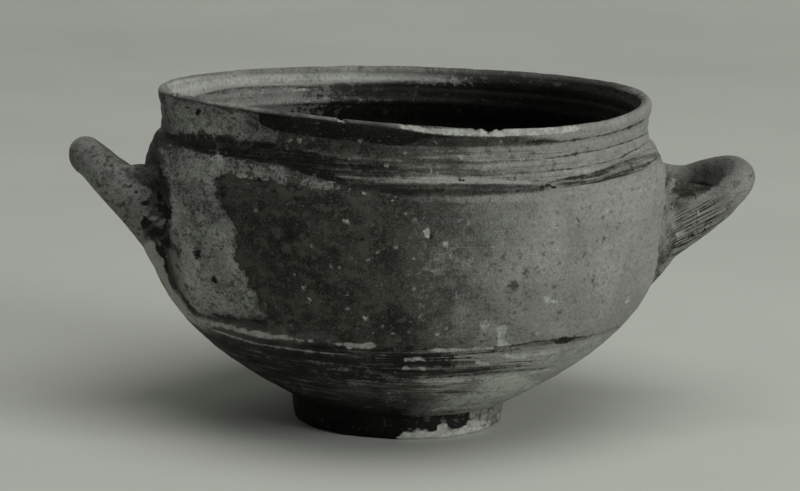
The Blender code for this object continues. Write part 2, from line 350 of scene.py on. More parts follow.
FAN_LEFT = [
    ([(190, 321), (213, 330), (233, 337), (256, 343.6), (283, 347.8), (306, 351), (336, 353.6), (347, 354), (400, 355)],
     [(208, 0.0), (220, -0.7), (240, -1.0), (290, -1.0), (330, -0.8), (345, -0.6), (352, 0.0)]),
    ([(190, 331), (213, 340), (233, 347), (256, 352), (283, 356), (306, 359), (347, 361), (400, 362)],
     [(215, 0.0), (235, 0.8), (280, 1.2), (320, 0.9), (360, 0.6), (390, 0.4)]),
    ([(190, 341), (213, 350), (240, 359), (270, 365), (306, 369), (347, 371.5), (400, 372)],
     [(235, 0.0), (260, 0.9), (300, 1.2), (350, 0.8), (390, 0.6)]),
]


def line_fields(x, y, lines, reach):
    """A number that is whole on each line, and the line's half width in those units."""
    ys = np.stack([lerp_at(x, pts) for pts, _ in lines])
    half = np.stack([lerp_at(x, widths) for _, widths in lines])
    n = len(lines)
    v = np.where(y < ys[0], (y - ys[0]) / reach, (n - 1) + (y - ys[-1]) / reach)
    width = np.where(y < ys[0], half[0], half[-1]) / reach
    for k in range(n - 1):
        gap = np.maximum(ys[k + 1] - ys[k], 2.2)
        here = (y >= ys[k]) & (y < ys[k + 1])
        f = (y - ys[k]) / gap
        v = np.where(here, k + f, v)
        width = np.where(here, np.where(f < 0.5, half[k], half[k + 1]) / gap, width)
    width = np.where((v < -0.5) | (v > n - 0.5), 0.0, width)
    return v + 20.0, width


def fan_fields(p):
    """Thin lines as numbers that are whole on each line with their half widths, and the loose hairs."""
    x, y = p[:, 0], p[:, 1]
    v, width = line_fields(x, y, FAN, 12.0)
    width = np.where(x > 664, 0.0, 1.75 * width)
    v2, width2 = line_fields(x, y, FAN_LOW, 8.0)
    v3, width3 = line_fields(x, y, FAN_LEFT, 8.0)
    right = x > 398
    low = y > 300
    v = np.where(low, np.where(right, v2, v3), v)
    width = np.where(low, np.where(right, 1.25 * width2, 1.25 * width3), width)
    top, foot = lerp_at(x, SHEAF_TOP), lerp_at(x, SHEAF_FOOT)
    hair = 3.2 * (y - top) / (foot - top)
    edge = np.minimum(y - top, foot - y)
    mask = smooth(-0.8, 1.6, edge) * smooth(548, 572, x) * smooth(664, 658, x) * (1.0 - 0.42 * smooth(618, 644, x))
    return v, width, hair, mask


INK_AREAS = [
    # black under the lip, where the paint was left
    ([(258, 112.5), (300, 117), (340, 121), (380, 124.5), (400, 126), (424, 139), (400, 146), (370, 143.5), (337, 139.6), (309, 136),
      (279, 131), (261, 124.7)], 1.0, 0.9),
    # dark streaked zone under the left light strips
    ([(205, 331), (240, 343), (300, 355), (350, 358), (400, 352), (440, 356), (462, 362), (440, 372), (400, 381),
      (340, 386), (300, 392), (270, 384), (235, 362)], 0.66, 5.0),
    # black to the foot, left: painted shadow over the dark paint, where the lower body is turned from the light
    ([(255, 374), (300, 391), (340, 398), (380, 404), (404, 409), (408, 445), (280, 445)], 1.0, 11.0),
    # dark by the left handle's root
    ([(140, 160), (150, 158), (157, 152), (161, 174), (171, 189), (173, 197), (168, 203), (171, 222), (173, 249),
      (164, 258), (150, 262), (140, 250)], 0.13, 4.0),
]
INK_BLOBS = [(194, 180, 3.0, 2.4, 0.3, 0.6), (218, 179, 2.0, 3.0, 0.0, 0.7), (212, 220, 2.4, 3.0, 0.2, 0.6),
             (199, 251, 4.4, 8.4, 0.0, 0.80), (214, 278, 3.8, 7.0, -0.6, 0.70), (222, 245, 1.6, 3.2, 0.0, 0.6),
             (229, 300, 2.0, 2.6, 0.0, 0.5), (199.5, 111.5, 2.6, 3.4, 0.0, 0.9), (188, 107.5, 3.4, 1.5, 0.1, 0.8),
             (234, 118.5, 2.0, 1.2, 0.0, 0.7), (163, 99, 2.0, 2.4, 0.0, 0.6), (462.5, 180.5, 2.0, 1.5, 0.0, 0.9),
             (538, 180, 1.5, 1.1, -0.5, 0.9), (541.5, 178, 0.9, 1.6, 0.5, 0.8), (594, 283.5, 1.7, 3.0, -0.7, 1.5),
             (431, 234, 1.4, 3.4, 0.0, 0.8), (195, 259, 2.0, 2.6, 0.0, 0.5), (218, 234, 1.6, 2.2, 0.3, 0.5),
             
             (160, 207, 6.5, 5.0, 0.0, 0.95), (157, 231, 8.0, 4.0, 0.0, 0.95), (160, 196, 4.0, 3.0, 0.0, 0.9),
             (168, 216, 4, 9, 0.0, 0.9), (163, 244, 5, 6, 0.0, 0.95), (169, 241, 3, 7, 0.0, 0.9),
             (226, 192, 4, 6, 0.0, 0.6), (222, 178, 5, 2.4, 0.0, 0.6), (262, 181, 7, 2.6, 0.1, 0.7),
             (300, 205, 12, 7, 0.0, 0.35), (290, 232, 9, 10, 0.0, 0.3), (352, 236, 14, 7, 0.0, 0.3), (330, 250, 10, 6, 0.0, 0.25),
             (541, 187, 2.6, 1.7, -0.4, 0.9), (547, 185.4, 3.2, 1.3, -0.2, 0.9), (554, 187.4, 2.4, 1.7, 0.0, 0.85),
             (268, 262, 9, 7, 0.0, 0.25), (345, 300, 14, 6, 0.0, 0.2), (392, 260, 8, 6, 0.0, 0.2)]
# lighter streaks, where the wheel left less paint: outline, widths, how much
LIGHTEN = [
    ([(173, 252), (179, 272), (186, 292), (199, 309)], [8, 9, 8, 4], 0.55),
    ([(376, 183), (400, 181.2), (443, 179.6), (489, 181), (530, 182.6)], [2, 4.5, 6, 5, 2], 0.45),
    ([(400, 168), (470, 166.5), (540, 163)], [3, 4, 3], 0.20),
    ([(420, 157), (470, 156), (525, 153)], [3, 4, 3], 0.18),
    ([(400, 199), (450, 200), (520, 199), (560, 197)], [3, 4, 5, 4], 0.15),
    ([(300, 150), (350, 157), (400, 161)], [3, 4, 3], 0.20),
    ([(330, 176), (370, 179), (400, 178)], [1.5, 2, 2.5], 0.5),
]
# bands where more of the paint was left: outline, widths, strength along x
DARK_LINES = [
    ([(400, 139), (445, 140.5), (493, 140.5), (532, 141), (560, 141.5)], [13, 13, 12, 8, 3],
     [(400, 1.0), (445, 0.96), (480, 0.90), (500, 0.84), (532, 0.78), (560, 0.5)]),
    ([(336, 186), (372, 188), (400, 190), (468, 190), (525, 188.5), (548, 188)], [6, 8, 10, 11, 8.5, 4],
     [(336, 1.1), (420, 1.25), (450, 1.15), (500, 0.88), (548, 0.58)]),
]
# soft darker streaks: outline, widths, how much
STREAKS = [
    ([(405, 163), (445, 163.5), (489, 162.6), (536, 160)], [1.5, 2.2, 2.4, 1.5], 0.28),
    ([(440, 174), (468, 175), (491, 174.4), (513, 172.8), (530, 172.4)], [1.5, 2.4, 3.2, 3.0, 1.5], 0.34),
    ([(400, 171), (440, 170.4), (480, 170)], [2.0, 2.6, 1.6], 0.25),
    ([(395, 356), (430, 355.3), (470, 353), (493, 350.5)], [3, 4.5, 4.5, 3], 0.45),
    ([(395, 362.5), (440, 363), (478, 362.5)], [5, 5, 4], 0.40),
    ([(395, 374), (450, 371.5), (490, 368), (522, 365.3)], [5, 5, 4.5, 3], 0.50),
    ([(430, 375.5), (470, 373.3), (510, 370.6), (545, 367.5)], [4, 4, 3.4, 2], 0.45),
    ([(440, 392.5), (480, 392), (512, 391)], [1.5, 2.4, 1.5], 0.30),
    ([(493, 351), (515, 346.5), (535, 344.5), (556, 342), (575, 339), (600, 333.5), (618, 326)], [2.5, 3, 3, 4, 4, 3, 2], 0.35),
]
DARK_SPOTS = [(513.5, 285.5, 5.2, 5.0, 0.54), (554, 287, 3.0, 3.2, 0.35), (603, 300, 2.6, 2.4, 0.3), (470, 231, 4.0, 3.0, 0.2)]
CHIP_LINES = [
    # worn edge of the lip
    ([(402, 127), (412, 128), (436, 131.5), (480, 133), (500, 133), (530, 131.5), (561, 130), (580, 127.8)],
     [2.0, 4.0, 5.5, 7.0, 7.0, 7.5, 6.5, 3.0]),
    # light strips low on the left
    ([(197, 320), (223, 325.5), (243, 331.5), (266, 335.5), (289, 338.5), (311, 341)], [3.5, 4.5, 5, 5.5, 3, 1]),
    ([(333, 343), (347, 345), (362, 345.5), (374, 345.5)], [2, 4, 5, 3]),
    # light strips low on the right
    ([(426, 349.8), (450, 350), (470, 349.2), (493, 347.6)], [2.4, 3.4, 2.8, 2.4]),
    ([(507, 355.5), (518, 356), (529, 355)], [4, 6, 4]),
    ([(529, 354.5), (545, 353), (560, 351)], [3, 3, 1.5]),
    ([(405, 358.5), (425, 358.5)], [3, 2.5]), ([(478, 362.5), (488, 363)], [4, 3]),
    ([(404, 367.5), (424, 368.5)], [1.6, 1.6]),
    ([(414, 381), (440, 381.2), (471, 380), (514, 375.6), (540, 371), (555, 368)], [2.0, 2.8, 2.8, 2.4, 1.8, 1.2]),
    ([(432, 411.0), (441, 408.6), (470, 407.0), (494, 403.6)], [2.0, 3.0, 3.0, 2.4]),
]
# thin pale film: worn crest of the lip to the left, with its weight along x, and soft areas
LIP_FILM = ([(172, 93.5), (180, 95.5), (200, 99.5), (220, 103.3), (240, 105.4), (260, 109.4), (280, 112.4), (300, 114.5), (320, 117),
             (340, 119.8), (360, 121.6), (380, 123.8), (404, 126.6)],
            [3.0, 3.2, 3.4, 3.6, 4.4, 4.4, 3.2, 2.8, 3.0, 4.0, 3.0, 3.0, 4.5],
            [(172, 0.50), (200, 0.58), (220, 0.62), (240, 0.64), (260, 0.44), (280, 0.24), (300, 0.17), (320, 0.24), (335, 0.34), (341, 0.50),
             (347, 0.30), (360, 0.13), (378, 0.05), (388, 0.16), (396, 0.32), (404, 0.55)])
LIP_LEFT = [(146, 70), (196, 70), (190, 97), (172, 94.5), (160, 92), (146, 92)]
CHIP_POLYS = [
    [(496, 326.4), (508, 325.5), (505.4, 333.6), (507, 340), (511, 345), (497, 346.5), (499, 337)],
    [(423, 230), (427.5, 226.5), (430, 230), (429, 238), (424, 236)],
]
# pale dust and thin flakes, then broad paler patches, the largest low on the right of the belly: x, y, half sizes,
# lean, how strong
DUST = [(289, 142, 4.4, 3.2, 0.0, 0.55), (299, 142.5, 4.0, 3.2, 0.0, 0.55), (362, 141, 3.4, 3.8, 0.0, 0.5), (346, 222, 3.4, 2.0, 0.0, 0.8),
        (332, 213.5, 1.6, 1.2, 0.0, 1.0), (185, 211, 1.8, 1.4, 0.0, 0.9), (246, 177, 1.6, 1.3, 0.0, 1.0), (304, 288, 2.6, 2.8, 0.0, 0.7),
        (308, 297, 2.2, 3.6, 0.0, 0.5), (276.5, 307.5, 2.0, 1.8, 0.0, 0.7), (365, 318, 2.0, 1.6, 0.0, 0.8), (456, 294, 2.6, 2.6, 0.0, 0.7),
        (448, 244, 4.4, 2.6, 0.4, 0.7), (551, 302, 6.4, 3.8, 0.2, 0.75), (627, 301, 2.8, 1.8, -0.6, 0.7), (437, 334, 2.6, 2.6, 0.0, 0.7),
        (482.5, 324, 5.6, 7.4, 0.0, 0.50), (462.5, 157.5, 4.0, 3.6, 0.0, 0.55), (520, 158, 4.0, 2.4, 0.5, 0.5), (420.5, 317, 3.0, 2.4, 0.0, 0.6),
        (436.5, 142, 1.6, 1.6, 0.0, 0.9), (372, 333.5, 1.8, 1.6, 0.0, 0.7), (393, 200.5, 1.6, 1.8, 0.0, 0.7), (364, 193.5, 1.4, 1.4, 0.0, 0.7),
        (174.5, 93.5, 2.4, 2.4, 0.0, 1.0), (341, 121.5, 4.4, 2.6, 0.2, 0.5),
        (508, 386, 34, 13, -0.16, 0.72), (470, 400, 32, 8, -0.08, 0.62), (540, 360, 22, 6, -0.3, 0.26), (585, 345, 26, 6, -0.4, 0.18), 
        (200, 215, 7, 12, 0.0, 0.3), (250, 300, 8, 8, 0.6, 0.3), (226, 262, 6, 14, 0.2, 0.2), (285, 206, 9, 3, 0.0, 0.3),
        (500, 240, 8, 5, 0.0, 0.25), (470, 262, 6, 4, 0.0, 0.25), (560, 250, 9, 5, 0.0, 0.2), (610, 268, 8, 6, 0.0, 0.15)]
PX_MM = 0.262


def wander(p, size, reach, seed):
    """Pixel places moved about at random, so that outlines come out uneven."""
    q = np.stack([p[:, 0], p[:, 1], np.zeros(len(p))], -1)
    return p + 2.0 * reach * np.stack([noise3(q, size, seed) - 0.5, noise3(q, size, seed + 5) - 0.5], -1)


def outer_fields(p):
    """Paint edge (mm), paint strength, ink, chip edge (mm), rings, dust with pale film and painted highlight, and brush
    lines at pixel places.
    """
    loose = wander(wander(p, 14.0, 2.6, 201), 6.0, 1.8, 211)
    bare = np.maximum(sd_poly(loose, LIGHT_PANEL), sd_poly(loose, NECK_PANEL))
    bare = np.maximum(bare, sd_poly(p, EDGE_STRIP))
    paint = np.clip(-bare * PX_MM, -4.0, 4.0)
    strength = body_strength(p)
    for pts, widths, value in LIGHTEN:
        strength = strength - value * smooth(-2.0, 1.6, sd_line(p, pts, widths))
    for pts, widths, values in DARK_LINES:
        strength = strength + np.maximum(lerp_at(p[:, 0], values) - strength, 0.0) * smooth(-1.8, 1.6, sd_line(p, pts, widths))
    for pts, widths, value in STREAKS:
        strength = strength + value * smooth(-1.4, 1.2, sd_line(p, pts, widths))
    for x, y, a, b, value in DARK_SPOTS:
        strength = strength + value * smooth(-1.2, 1.4, sd_blob(p, x, y, a, b))
    arm = lerp_at(p[:, 0], [(222, 2.6), (255, 2.65), (280, 2.4), (300, 2.75), (340, 2.95)])
    strength = strength + (arm - strength) * smooth(-5.0, 4.0, sd_poly(p, STAINED)) * smooth(-0.6, 1.2, bare)
    strength = strength + np.maximum(1.5 - strength, 0.0) * smooth(-4.0, 4.0, sd_poly(p, STAINED_LEFT)) * smooth(-0.6, 1.2, bare)
    ink = np.zeros(len(p))
    for pts, widths, value in INK:
        ink = np.maximum(ink, value * smooth(-1.2, 0.9, sd_line(p, pts, widths)))
    for poly, value, soft in INK_AREAS:
        ink = np.maximum(ink, value * smooth(-soft, soft, sd_poly(p, poly)))
    for x, y, a, b, lean, value in INK_BLOBS:
        ink = np.maximum(ink, value * smooth(-0.35 * min(a, b), 0.5 * min(a, b), sd_blob(p if a + b < 5.5 else loose, x, y, a, b, lean)))
    chip = np.full(len(p), -9.0)
    for pts, widths in CHIP_LINES:
        chip = np.maximum(chip, sd_line(p, pts, widths))
    for poly in CHIP_POLYS:
        chip = np.maximum(chip, sd_poly(p, poly))
    ragged = noise3(np.stack([0.8 * p[:, 0], 1.3 * p[:, 1], np.zeros(len(p))], -1), 5.0, 263)
    chip = chip + 3.0 * (ragged - 0.5) * smooth(290, 320, p[:, 1]) * smooth(442, 426, p[:, 0])
    dust_and_highlight = np.zeros(len(p))
    for x, y, a, b, lean, value in DUST:
        dust_and_highlight = np.maximum(dust_and_highlight, value * smooth(-0.4 * min(a, b), 0.6 * min(a, b), sd_blob(p if a + b < 5.5 else loose, x, y, a, b, lean)))
    broken = noise3(np.stack([p[:, 0], 2.0 * p[:, 1], np.zeros(len(p))], -1), 9.0, 241)
    film_and_highlight = lerp_at(p[:, 0], LIP_FILM[2]) * smooth(-1.3, 1.0, sd_line(p, *LIP_FILM[:2])) * (0.72 + 0.52 * smooth(0.2, 0.8, broken))
    film_and_highlight = np.maximum(film_and_highlight, 0.72 * smooth(-1.0, 1.2, sd_poly(p, LIP_LEFT)) * smooth(196, 182, p[:, 0]))
    # painted highlight along the left contour
    film_and_highlight = np.maximum(film_and_highlight, 0.46 * smooth(-1.6, 1.6, sd_poly(loose, EDGE_HIGHLIGHT)))
    film_and_highlight = np.maximum(film_and_highlight, 0.13 * smooth(-5.0, 6.0, sd_poly(loose, LOW_WASH)))
    low = smooth(343, 352, p[:, 1]) * smooth(404, 392, p[:, 1])
    high = smooth(146, 152, p[:, 1]) * smooth(200, 188, p[:, 1])
    rings = np.maximum(low, 0.5 * high)
    lines = fan_fields(p)
    strength = strength + 0.26 * lines[3]
    return (paint, strength, ink, np.clip(chip * PX_MM, -2.0, 2.0), rings, np.where(dust_and_highlight > 0.02, dust_and_highlight, -film_and_highlight)) + lines


# the inside, seen over the near lip: top of the pale band, and its lower edge
PALE_TOP = [(150, 88), (160, 85.5), (168, 83.5), (178, 80.5), (193, 78), (219, 75.4), (257, 74), (289, 73.2), (341, 73.2), (410, 74), (440, 78), (660, 90)]
PALE_FOOT = [(150, 110), (198, 95.7), (211, 92.3), (233, 88), (257, 87), (282, 86.2), (306, 86.5), (323, 84.5), (341, 82.7),
             (375, 81.9), (410, 81), (448, 82.5), (480, 81.3), (520, 84), (571, 85.3), (603, 90.7), (635, 96), (660, 100)]


def inner_fields(p, z, near):
    """The inside: pale band in the neck, dark below and to the right; painted shade darkens the band's right part and
    the wall under the ledge, and a painted highlight lies along the ledge's top.
    """
    x, y = p[:, 0], p[:, 1]
    top, foot = lerp_at(x, PALE_TOP), lerp_at(x, PALE_FOOT)
    below = (y - foot) * PX_MM
    paint = np.clip(np.maximum(below, (top - y) * PX_MM), -4.0, 4.0)
    # the dark ends in streaks that follow the wheel
    streak = noise3(np.stack([x / 60.0, z / 0.8, np.zeros(len(p))], -1), 1.0, 251)
    away = x + 62.0 * (streak - 0.5)
    right = smooth(278, 358, away)
    fade = smooth(63.0, 52.0, z)
    # in the pale band the paint strength rises to the right: painted shade where the far wall lies in shadow
    strength = np.where(below > 0, 0.30 + 0.7 * right, 0.34 + 0.5 * smooth(410, 470, x))
    strength = strength + (1.0 - strength) * fade
    ink = 0.85 * smooth(1.6, 0.5, np.abs(y - foot)) * (1.0 - right) * smooth(190, 215, x)
    ink = np.maximum(ink, smooth(0.2, 1.4, below) * (1.0 - fade) * (0.50 * right + 0.50 * smooth(385, 440, x)))
    # below the ledge: darker to the right and with depth, partly the black paint inside, partly painted shade under the
    # ledge's overhang
    under = smooth(77.3, 76.5, z)
    ink = np.maximum(ink, under * (1.0 - fade) * np.clip(smooth(272, 352, away) + 0.5 * smooth(76.6, 73.0, z) * smooth(225, 300, x), 0.0, 1.0))
    deep = smooth(56.0, 42.0, z)
    ink = np.maximum(ink, smooth(70.0, 66.0, z) * (1.0 - 0.62 * fade))
    # ink on the upper inside to the right: painted shade where the far wall lies in shadow
    high = 0.9 * smooth(540, 600, x)
    ink = np.maximum(ink, (1.0 - fade) * smooth(425, 475, x) * smooth(85.8, 84.7, z - high))
    chip = np.full(len(p), -2.0)
    film_and_highlight = (0.60 + 0.26 * smooth(260, 180, x)) * smooth(0.5, -0.6, np.maximum(below, (top - y) * PX_MM)) * smooth(450, 385, x)
    film_and_highlight = np.maximum(film_and_highlight, 0.34 * smooth(0.3, -0.5, np.maximum(below, (top - y) * PX_MM)) * bump_at(x, 440, 40))
    film_and_highlight = np.maximum(film_and_highlight, (0.012 + 0.030 * smooth(560, 610, x) * smooth(68.0, 76.0, z)) * (1.0 - fade))
    film_and_highlight = np.maximum(film_and_highlight, 0.13 * smooth(85.0, 86.0, z) * smooth(440, 480, x))
    dust_and_highlight = np.zeros(len(p))
    dust_and_highlight = np.maximum(dust_and_highlight, 0.46 * bump_at(x, 298, 16) * smooth(0.2, 0.8, below) * smooth(80.0, 81.0, z))
    dust_and_highlight = np.maximum(dust_and_highlight, 0.42 * bump_at(x, 257, 8) * smooth(0.2, 0.8, below) * smooth(79.5, 80.5, z))
    # pale line along the top of the inner ledge: painted highlight where the ledge catches light
    dust_and_highlight = np.maximum(dust_and_highlight, 0.28 * bump_at(z, 77.7, 0.35) * smooth(420, 370, x))
    blank = np.zeros(len(p))
    return paint, strength, ink, chip, blank + 0.15 + 0.6 * deep, np.where(dust_and_highlight > 0.05, dust_and_highlight, -film_and_highlight), blank + 20.5, blank, blank, blank


# ------------------------------------------------------------ mesh helpers
def new_object(name, verts, faces, fields=None, uv=None):
    mesh = bpy.data.meshes.new(name)
    mesh.from_pydata(verts.tolist(), [], faces)
    mesh.update()
    for key, values in (fields or {}).items():
        att = mesh.attributes.new(key, 'FLOAT', 'POINT')
        att.data.foreach_set("value", np.asarray(values, dtype=np.float32))
    if uv is not None:
        layer = mesh.uv_layers.new(name="OFBake")
        layer.data.foreach_set("uv", np.asarray(uv, dtype=np.float32).ravel())
    mesh.shade_smooth()
    obj = bpy.data.objects.new(name, mesh)
    scene.collection.objects.link(obj)
    return obj


def bend_rim(p):
    """The lip sits a little off the axis, and its edge rises and falls as it goes round."""
    t = np.arctan2(p[:, 1], p[:, 0])
    wave = (0.08 - 0.14 * np.sin(t) - 0.76 * np.cos(t) + 0.47 * np.cos(2 * t) + 0.90 * np.sin(2 * t)
            + 0.39 * np.cos(3 * t) - 0.07 * np.sin(3 * t))
    q = p.copy()
    q[:, 2] += wave * smooth(72.0, 86.5, p[:, 2])
    q[:, 0] += RIM_SHIFT * smooth(60.0, 87.0, p[:, 2])
    return q


# -------------------------------------------------------------------- bowl
def make_bowl():
    rows = bowl_rows()
    n, m = len(rows), COLUMNS
    r = np.array([a for a, _, _ in rows])
    z = np.array([b for _, b, _ in rows])
    zone = np.array([c for _, _, c in rows])
    # the seam is at the back, and the columns are closer at the front
    turn_part = np.arange(m) * (2 * math.pi / m)
    theta = np.radians(90.0) + turn_part + 0.4 * np.sin(turn_part)
    ct, st = np.cos(theta), np.sin(theta)
    base = np.stack([np.outer(r, ct), np.outer(r, st), np.repeat(z[:, None], m, 1)], -1).reshape(-1, 3)
    rr, zz, zn = np.repeat(r, m), np.repeat(z, m), np.repeat(zone, m)
    shaped = bend_rim(base)

    # section normal, to move points in and out
    tr, tz = np.gradient(r), np.gradient(z)
    ln = np.hypot(tr, tz) + 1e-9
    nr, nz = np.repeat(-tz / ln, m), np.repeat(tr / ln, m)
    normal = np.stack([nr * np.tile(ct, n), nr * np.tile(st, n), nz], -1)

    front = shaped.copy()
    front[:, 1] = -np.abs(front[:, 1])
    px_front = to_px(front)
    back = shaped.copy()
    back[:, 1] = np.abs(back[:, 1])
    px_back = to_px(back)

    outside = (zn == 2) | (zn == 3) | ((zn == 1) & (rr > LIP_R - LIP_ROLL))
    a = outer_fields(px_front)
    b = inner_fields(px_back, zz, shaped[:, 0])
    paint, strength, ink, chip, rings, dust_and_highlight, fan, fan_w, hair, hair_mask = [np.where(outside, u, v) for u, v in zip(a, b)]

    # hand-made waviness, wheel drift, chips and pits
    around = np.stack([shaped[:, 0] * 0.35, shaped[:, 1] * 0.35, zz * 1.2], -1)
    move = 0.55 * (fbm(shaped, 34.0, 3, 2) - 0.5) + 0.16 * (fbm(around, 3.2, 11, 2) - 0.5) + 0.10 * (fbm(shaped, 2.2, 23, 2) - 0.5)
    on_lip = (zn == 1) | ((zn == 2) & (zz > 83.5))
    ragged = fbm(shaped, 2.6, 41, 2) - 0.5
    deep = smooth(-0.1, 0.9, chip + 0.5 * ragged)
    move -= np.where(outside, 0.22 * deep, 0.0)
    lip_wear = smooth(0.15, 0.42, fbm(shaped, 5.5, 57, 3) - 0.32) * on_lip
    move -= 0.14 * lip_wear
    for x, y, size, depth in ((489, 130.5, 7.5, 0.9), (476, 129.5, 4.0, 0.5), (500, 130.0, 4.0, 0.5), (404, 127, 5.0, 0.4),
                              (428, 130, 4.0, 0.4), (341, 119, 4.0, 0.5), (174, 92, 4.0, 0.5)):
        d = np.hypot(px_front[:, 0] - x, 1.3 * (px_front[:, 1] - y))
        move -= depth * smooth(size, size * 0.2, d) * on_lip * (shaped[:, 1] < 0)
    move -= 0.68 * bump_at(zz, 77.6, 1.1) * smooth(4.0, 30.0, shaped[:, 0]) * (zn == 0)
    pit = noise3(shaped, 1.9, 71)
    move -= 0.14 * smooth(0.90, 0.99, pit)
    keep = np.where(zn == 3, 0.2, 1.0) * np.where((zn == 0) & (zz < 10), 0.3, 1.0)
    final = shaped + normal * (move * keep)[:, None]

    poles = np.array([[0, 0, BASE_Z + FLOOR], [0, 0, BASE_Z]], float)
    verts = to_part(np.concatenate([final, poles]))
    pad = lambda v, x0, x1: np.concatenate([v, [x0, x1]])
    fields = {"paint": pad(paint, 3.0, 3.0), "strength": pad(strength, 1.0, 0.9),
              "ink": pad(ink, 1.0, 0.0), "chip": pad(chip, -2.0, -2.0), "rings": pad(rings, 0.0, 0.0),
              "dust_and_highlight": pad(dust_and_highlight, 0.0, 0.0), "fan": pad(fan, 20.5, 20.5), "fan_width": pad(fan_w, 0.0, 0.0),
              "hair": pad(hair, 0.0, 0.0), "hair_mask": pad(hair_mask, 0.0, 0.0)}

    # a map in four strips, so that a baked picture keeps its detail
    s = np.concatenate([[0], np.cumsum(np.hypot(np.diff(r), np.diff(z)))])
    lip_row = int(np.where(zone == 1)[0][5])
    half = m // 2
    strip = {0: (0.004, 0.194), 1: (0.204, 0.394), 2: (0.404, 0.696), 3: (0.706, 0.996)}

    faces, uv = [], []
    for i in range(n - 1):
        inner_face = i < lip_row
        s0, s1 = (s[0], s[lip_row]) if inner_face else (s[lip_row], s[-1])
        for j in range(m):
            k = (j + 1) % m
            faces.append((i * m + j, (i + 1) * m + j, (i + 1) * m + k, i * m + k))
            second = j >= half
            lo, hi = strip[(0 if inner_face else 2) + (1 if second else 0)]
            u0 = 0.004 + 0.992 * (j - (half if second else 0)) / half
            u1 = 0.004 + 0.992 * (j + 1 - (half if second else 0)) / half
            v0 = lo + (hi - lo) * (s[i] - s0) / (s1 - s0)
            v1 = lo + (hi - lo) * (s[i + 1] - s0) / (s1 - s0)
            uv += [(u0, v0), (u0, v1), (u1, v1), (u1, v0)]
    for j in range(m):
        k = (j + 1) % m
        faces.append((n * m, j, k))
        second = j >= half
        lo = strip[1 if second else 0][0]
        u0 = 0.004 + 0.992 * (j - (half if second else 0)) / half
        uv += [(u0 + 0.5 / m, lo - 0.003), (u0, lo), (u0 + 1.9 / m, lo)]
    for j in range(m):
        k = (j + 1) % m
        faces.append((n * m + 1, (n - 1) * m + k, (n - 1) * m + j))
        second = j >= half
        hi = strip[3 if second else 2][1]
        u0 = 0.004 + 0.992 * (j - (half if second else 0)) / half
        uv += [(u0 + 0.5 / m, hi + 0.003), (u0 + 1.9 / m, hi), (u0, hi)]
    return new_object("bowl_worn", verts, faces, fields, uv)


# -------------------------------------------------------------------- foot
FOOT_SHIFT = -1.0
FOOT_R_TOP, FOOT_R_BOTTOM, FOOT_R_INNER = 28.2, 28.0, 20.5
FOOT_DARK = [(280, 385), (300, 401), (400, 412), (432, 414), (440, 411.5), (471, 411), (470, 418), (462, 428),
             (452, 430), (444, 422), (438, 429), (418, 431), (404, 432), (402, 442), (290, 442)]
# painted shadow: black laid over the dark paint on the left of the foot, which is turned from the light
FOOT_SHADOW = [(270, 385), (404, 409), (406, 445), (270, 445)]
FOOT_DIRT = [(468, 411), (480, 407), (508, 394), (508, 404), (499, 413), (490, 418), (481, 420), (474, 418), (468, 420)]
FOOT_GREY = [(428, 419, 4.0, 4.0), (443, 419, 3.0, 2.6), (412, 416, 3.0, 2.0), (458, 421, 2.4, 2.0)]
FOOT_PALE = [(397, 438), (407, 433), (420, 431.5), (436.4, 429.8), (439.5, 424.5), (444.9, 423), (450, 429.8), (464, 427.5), (474.8, 426),
             (487, 424.5), (493, 424), (488, 432), (464, 440), (448.7, 442), (425.7, 442), (405, 441)]


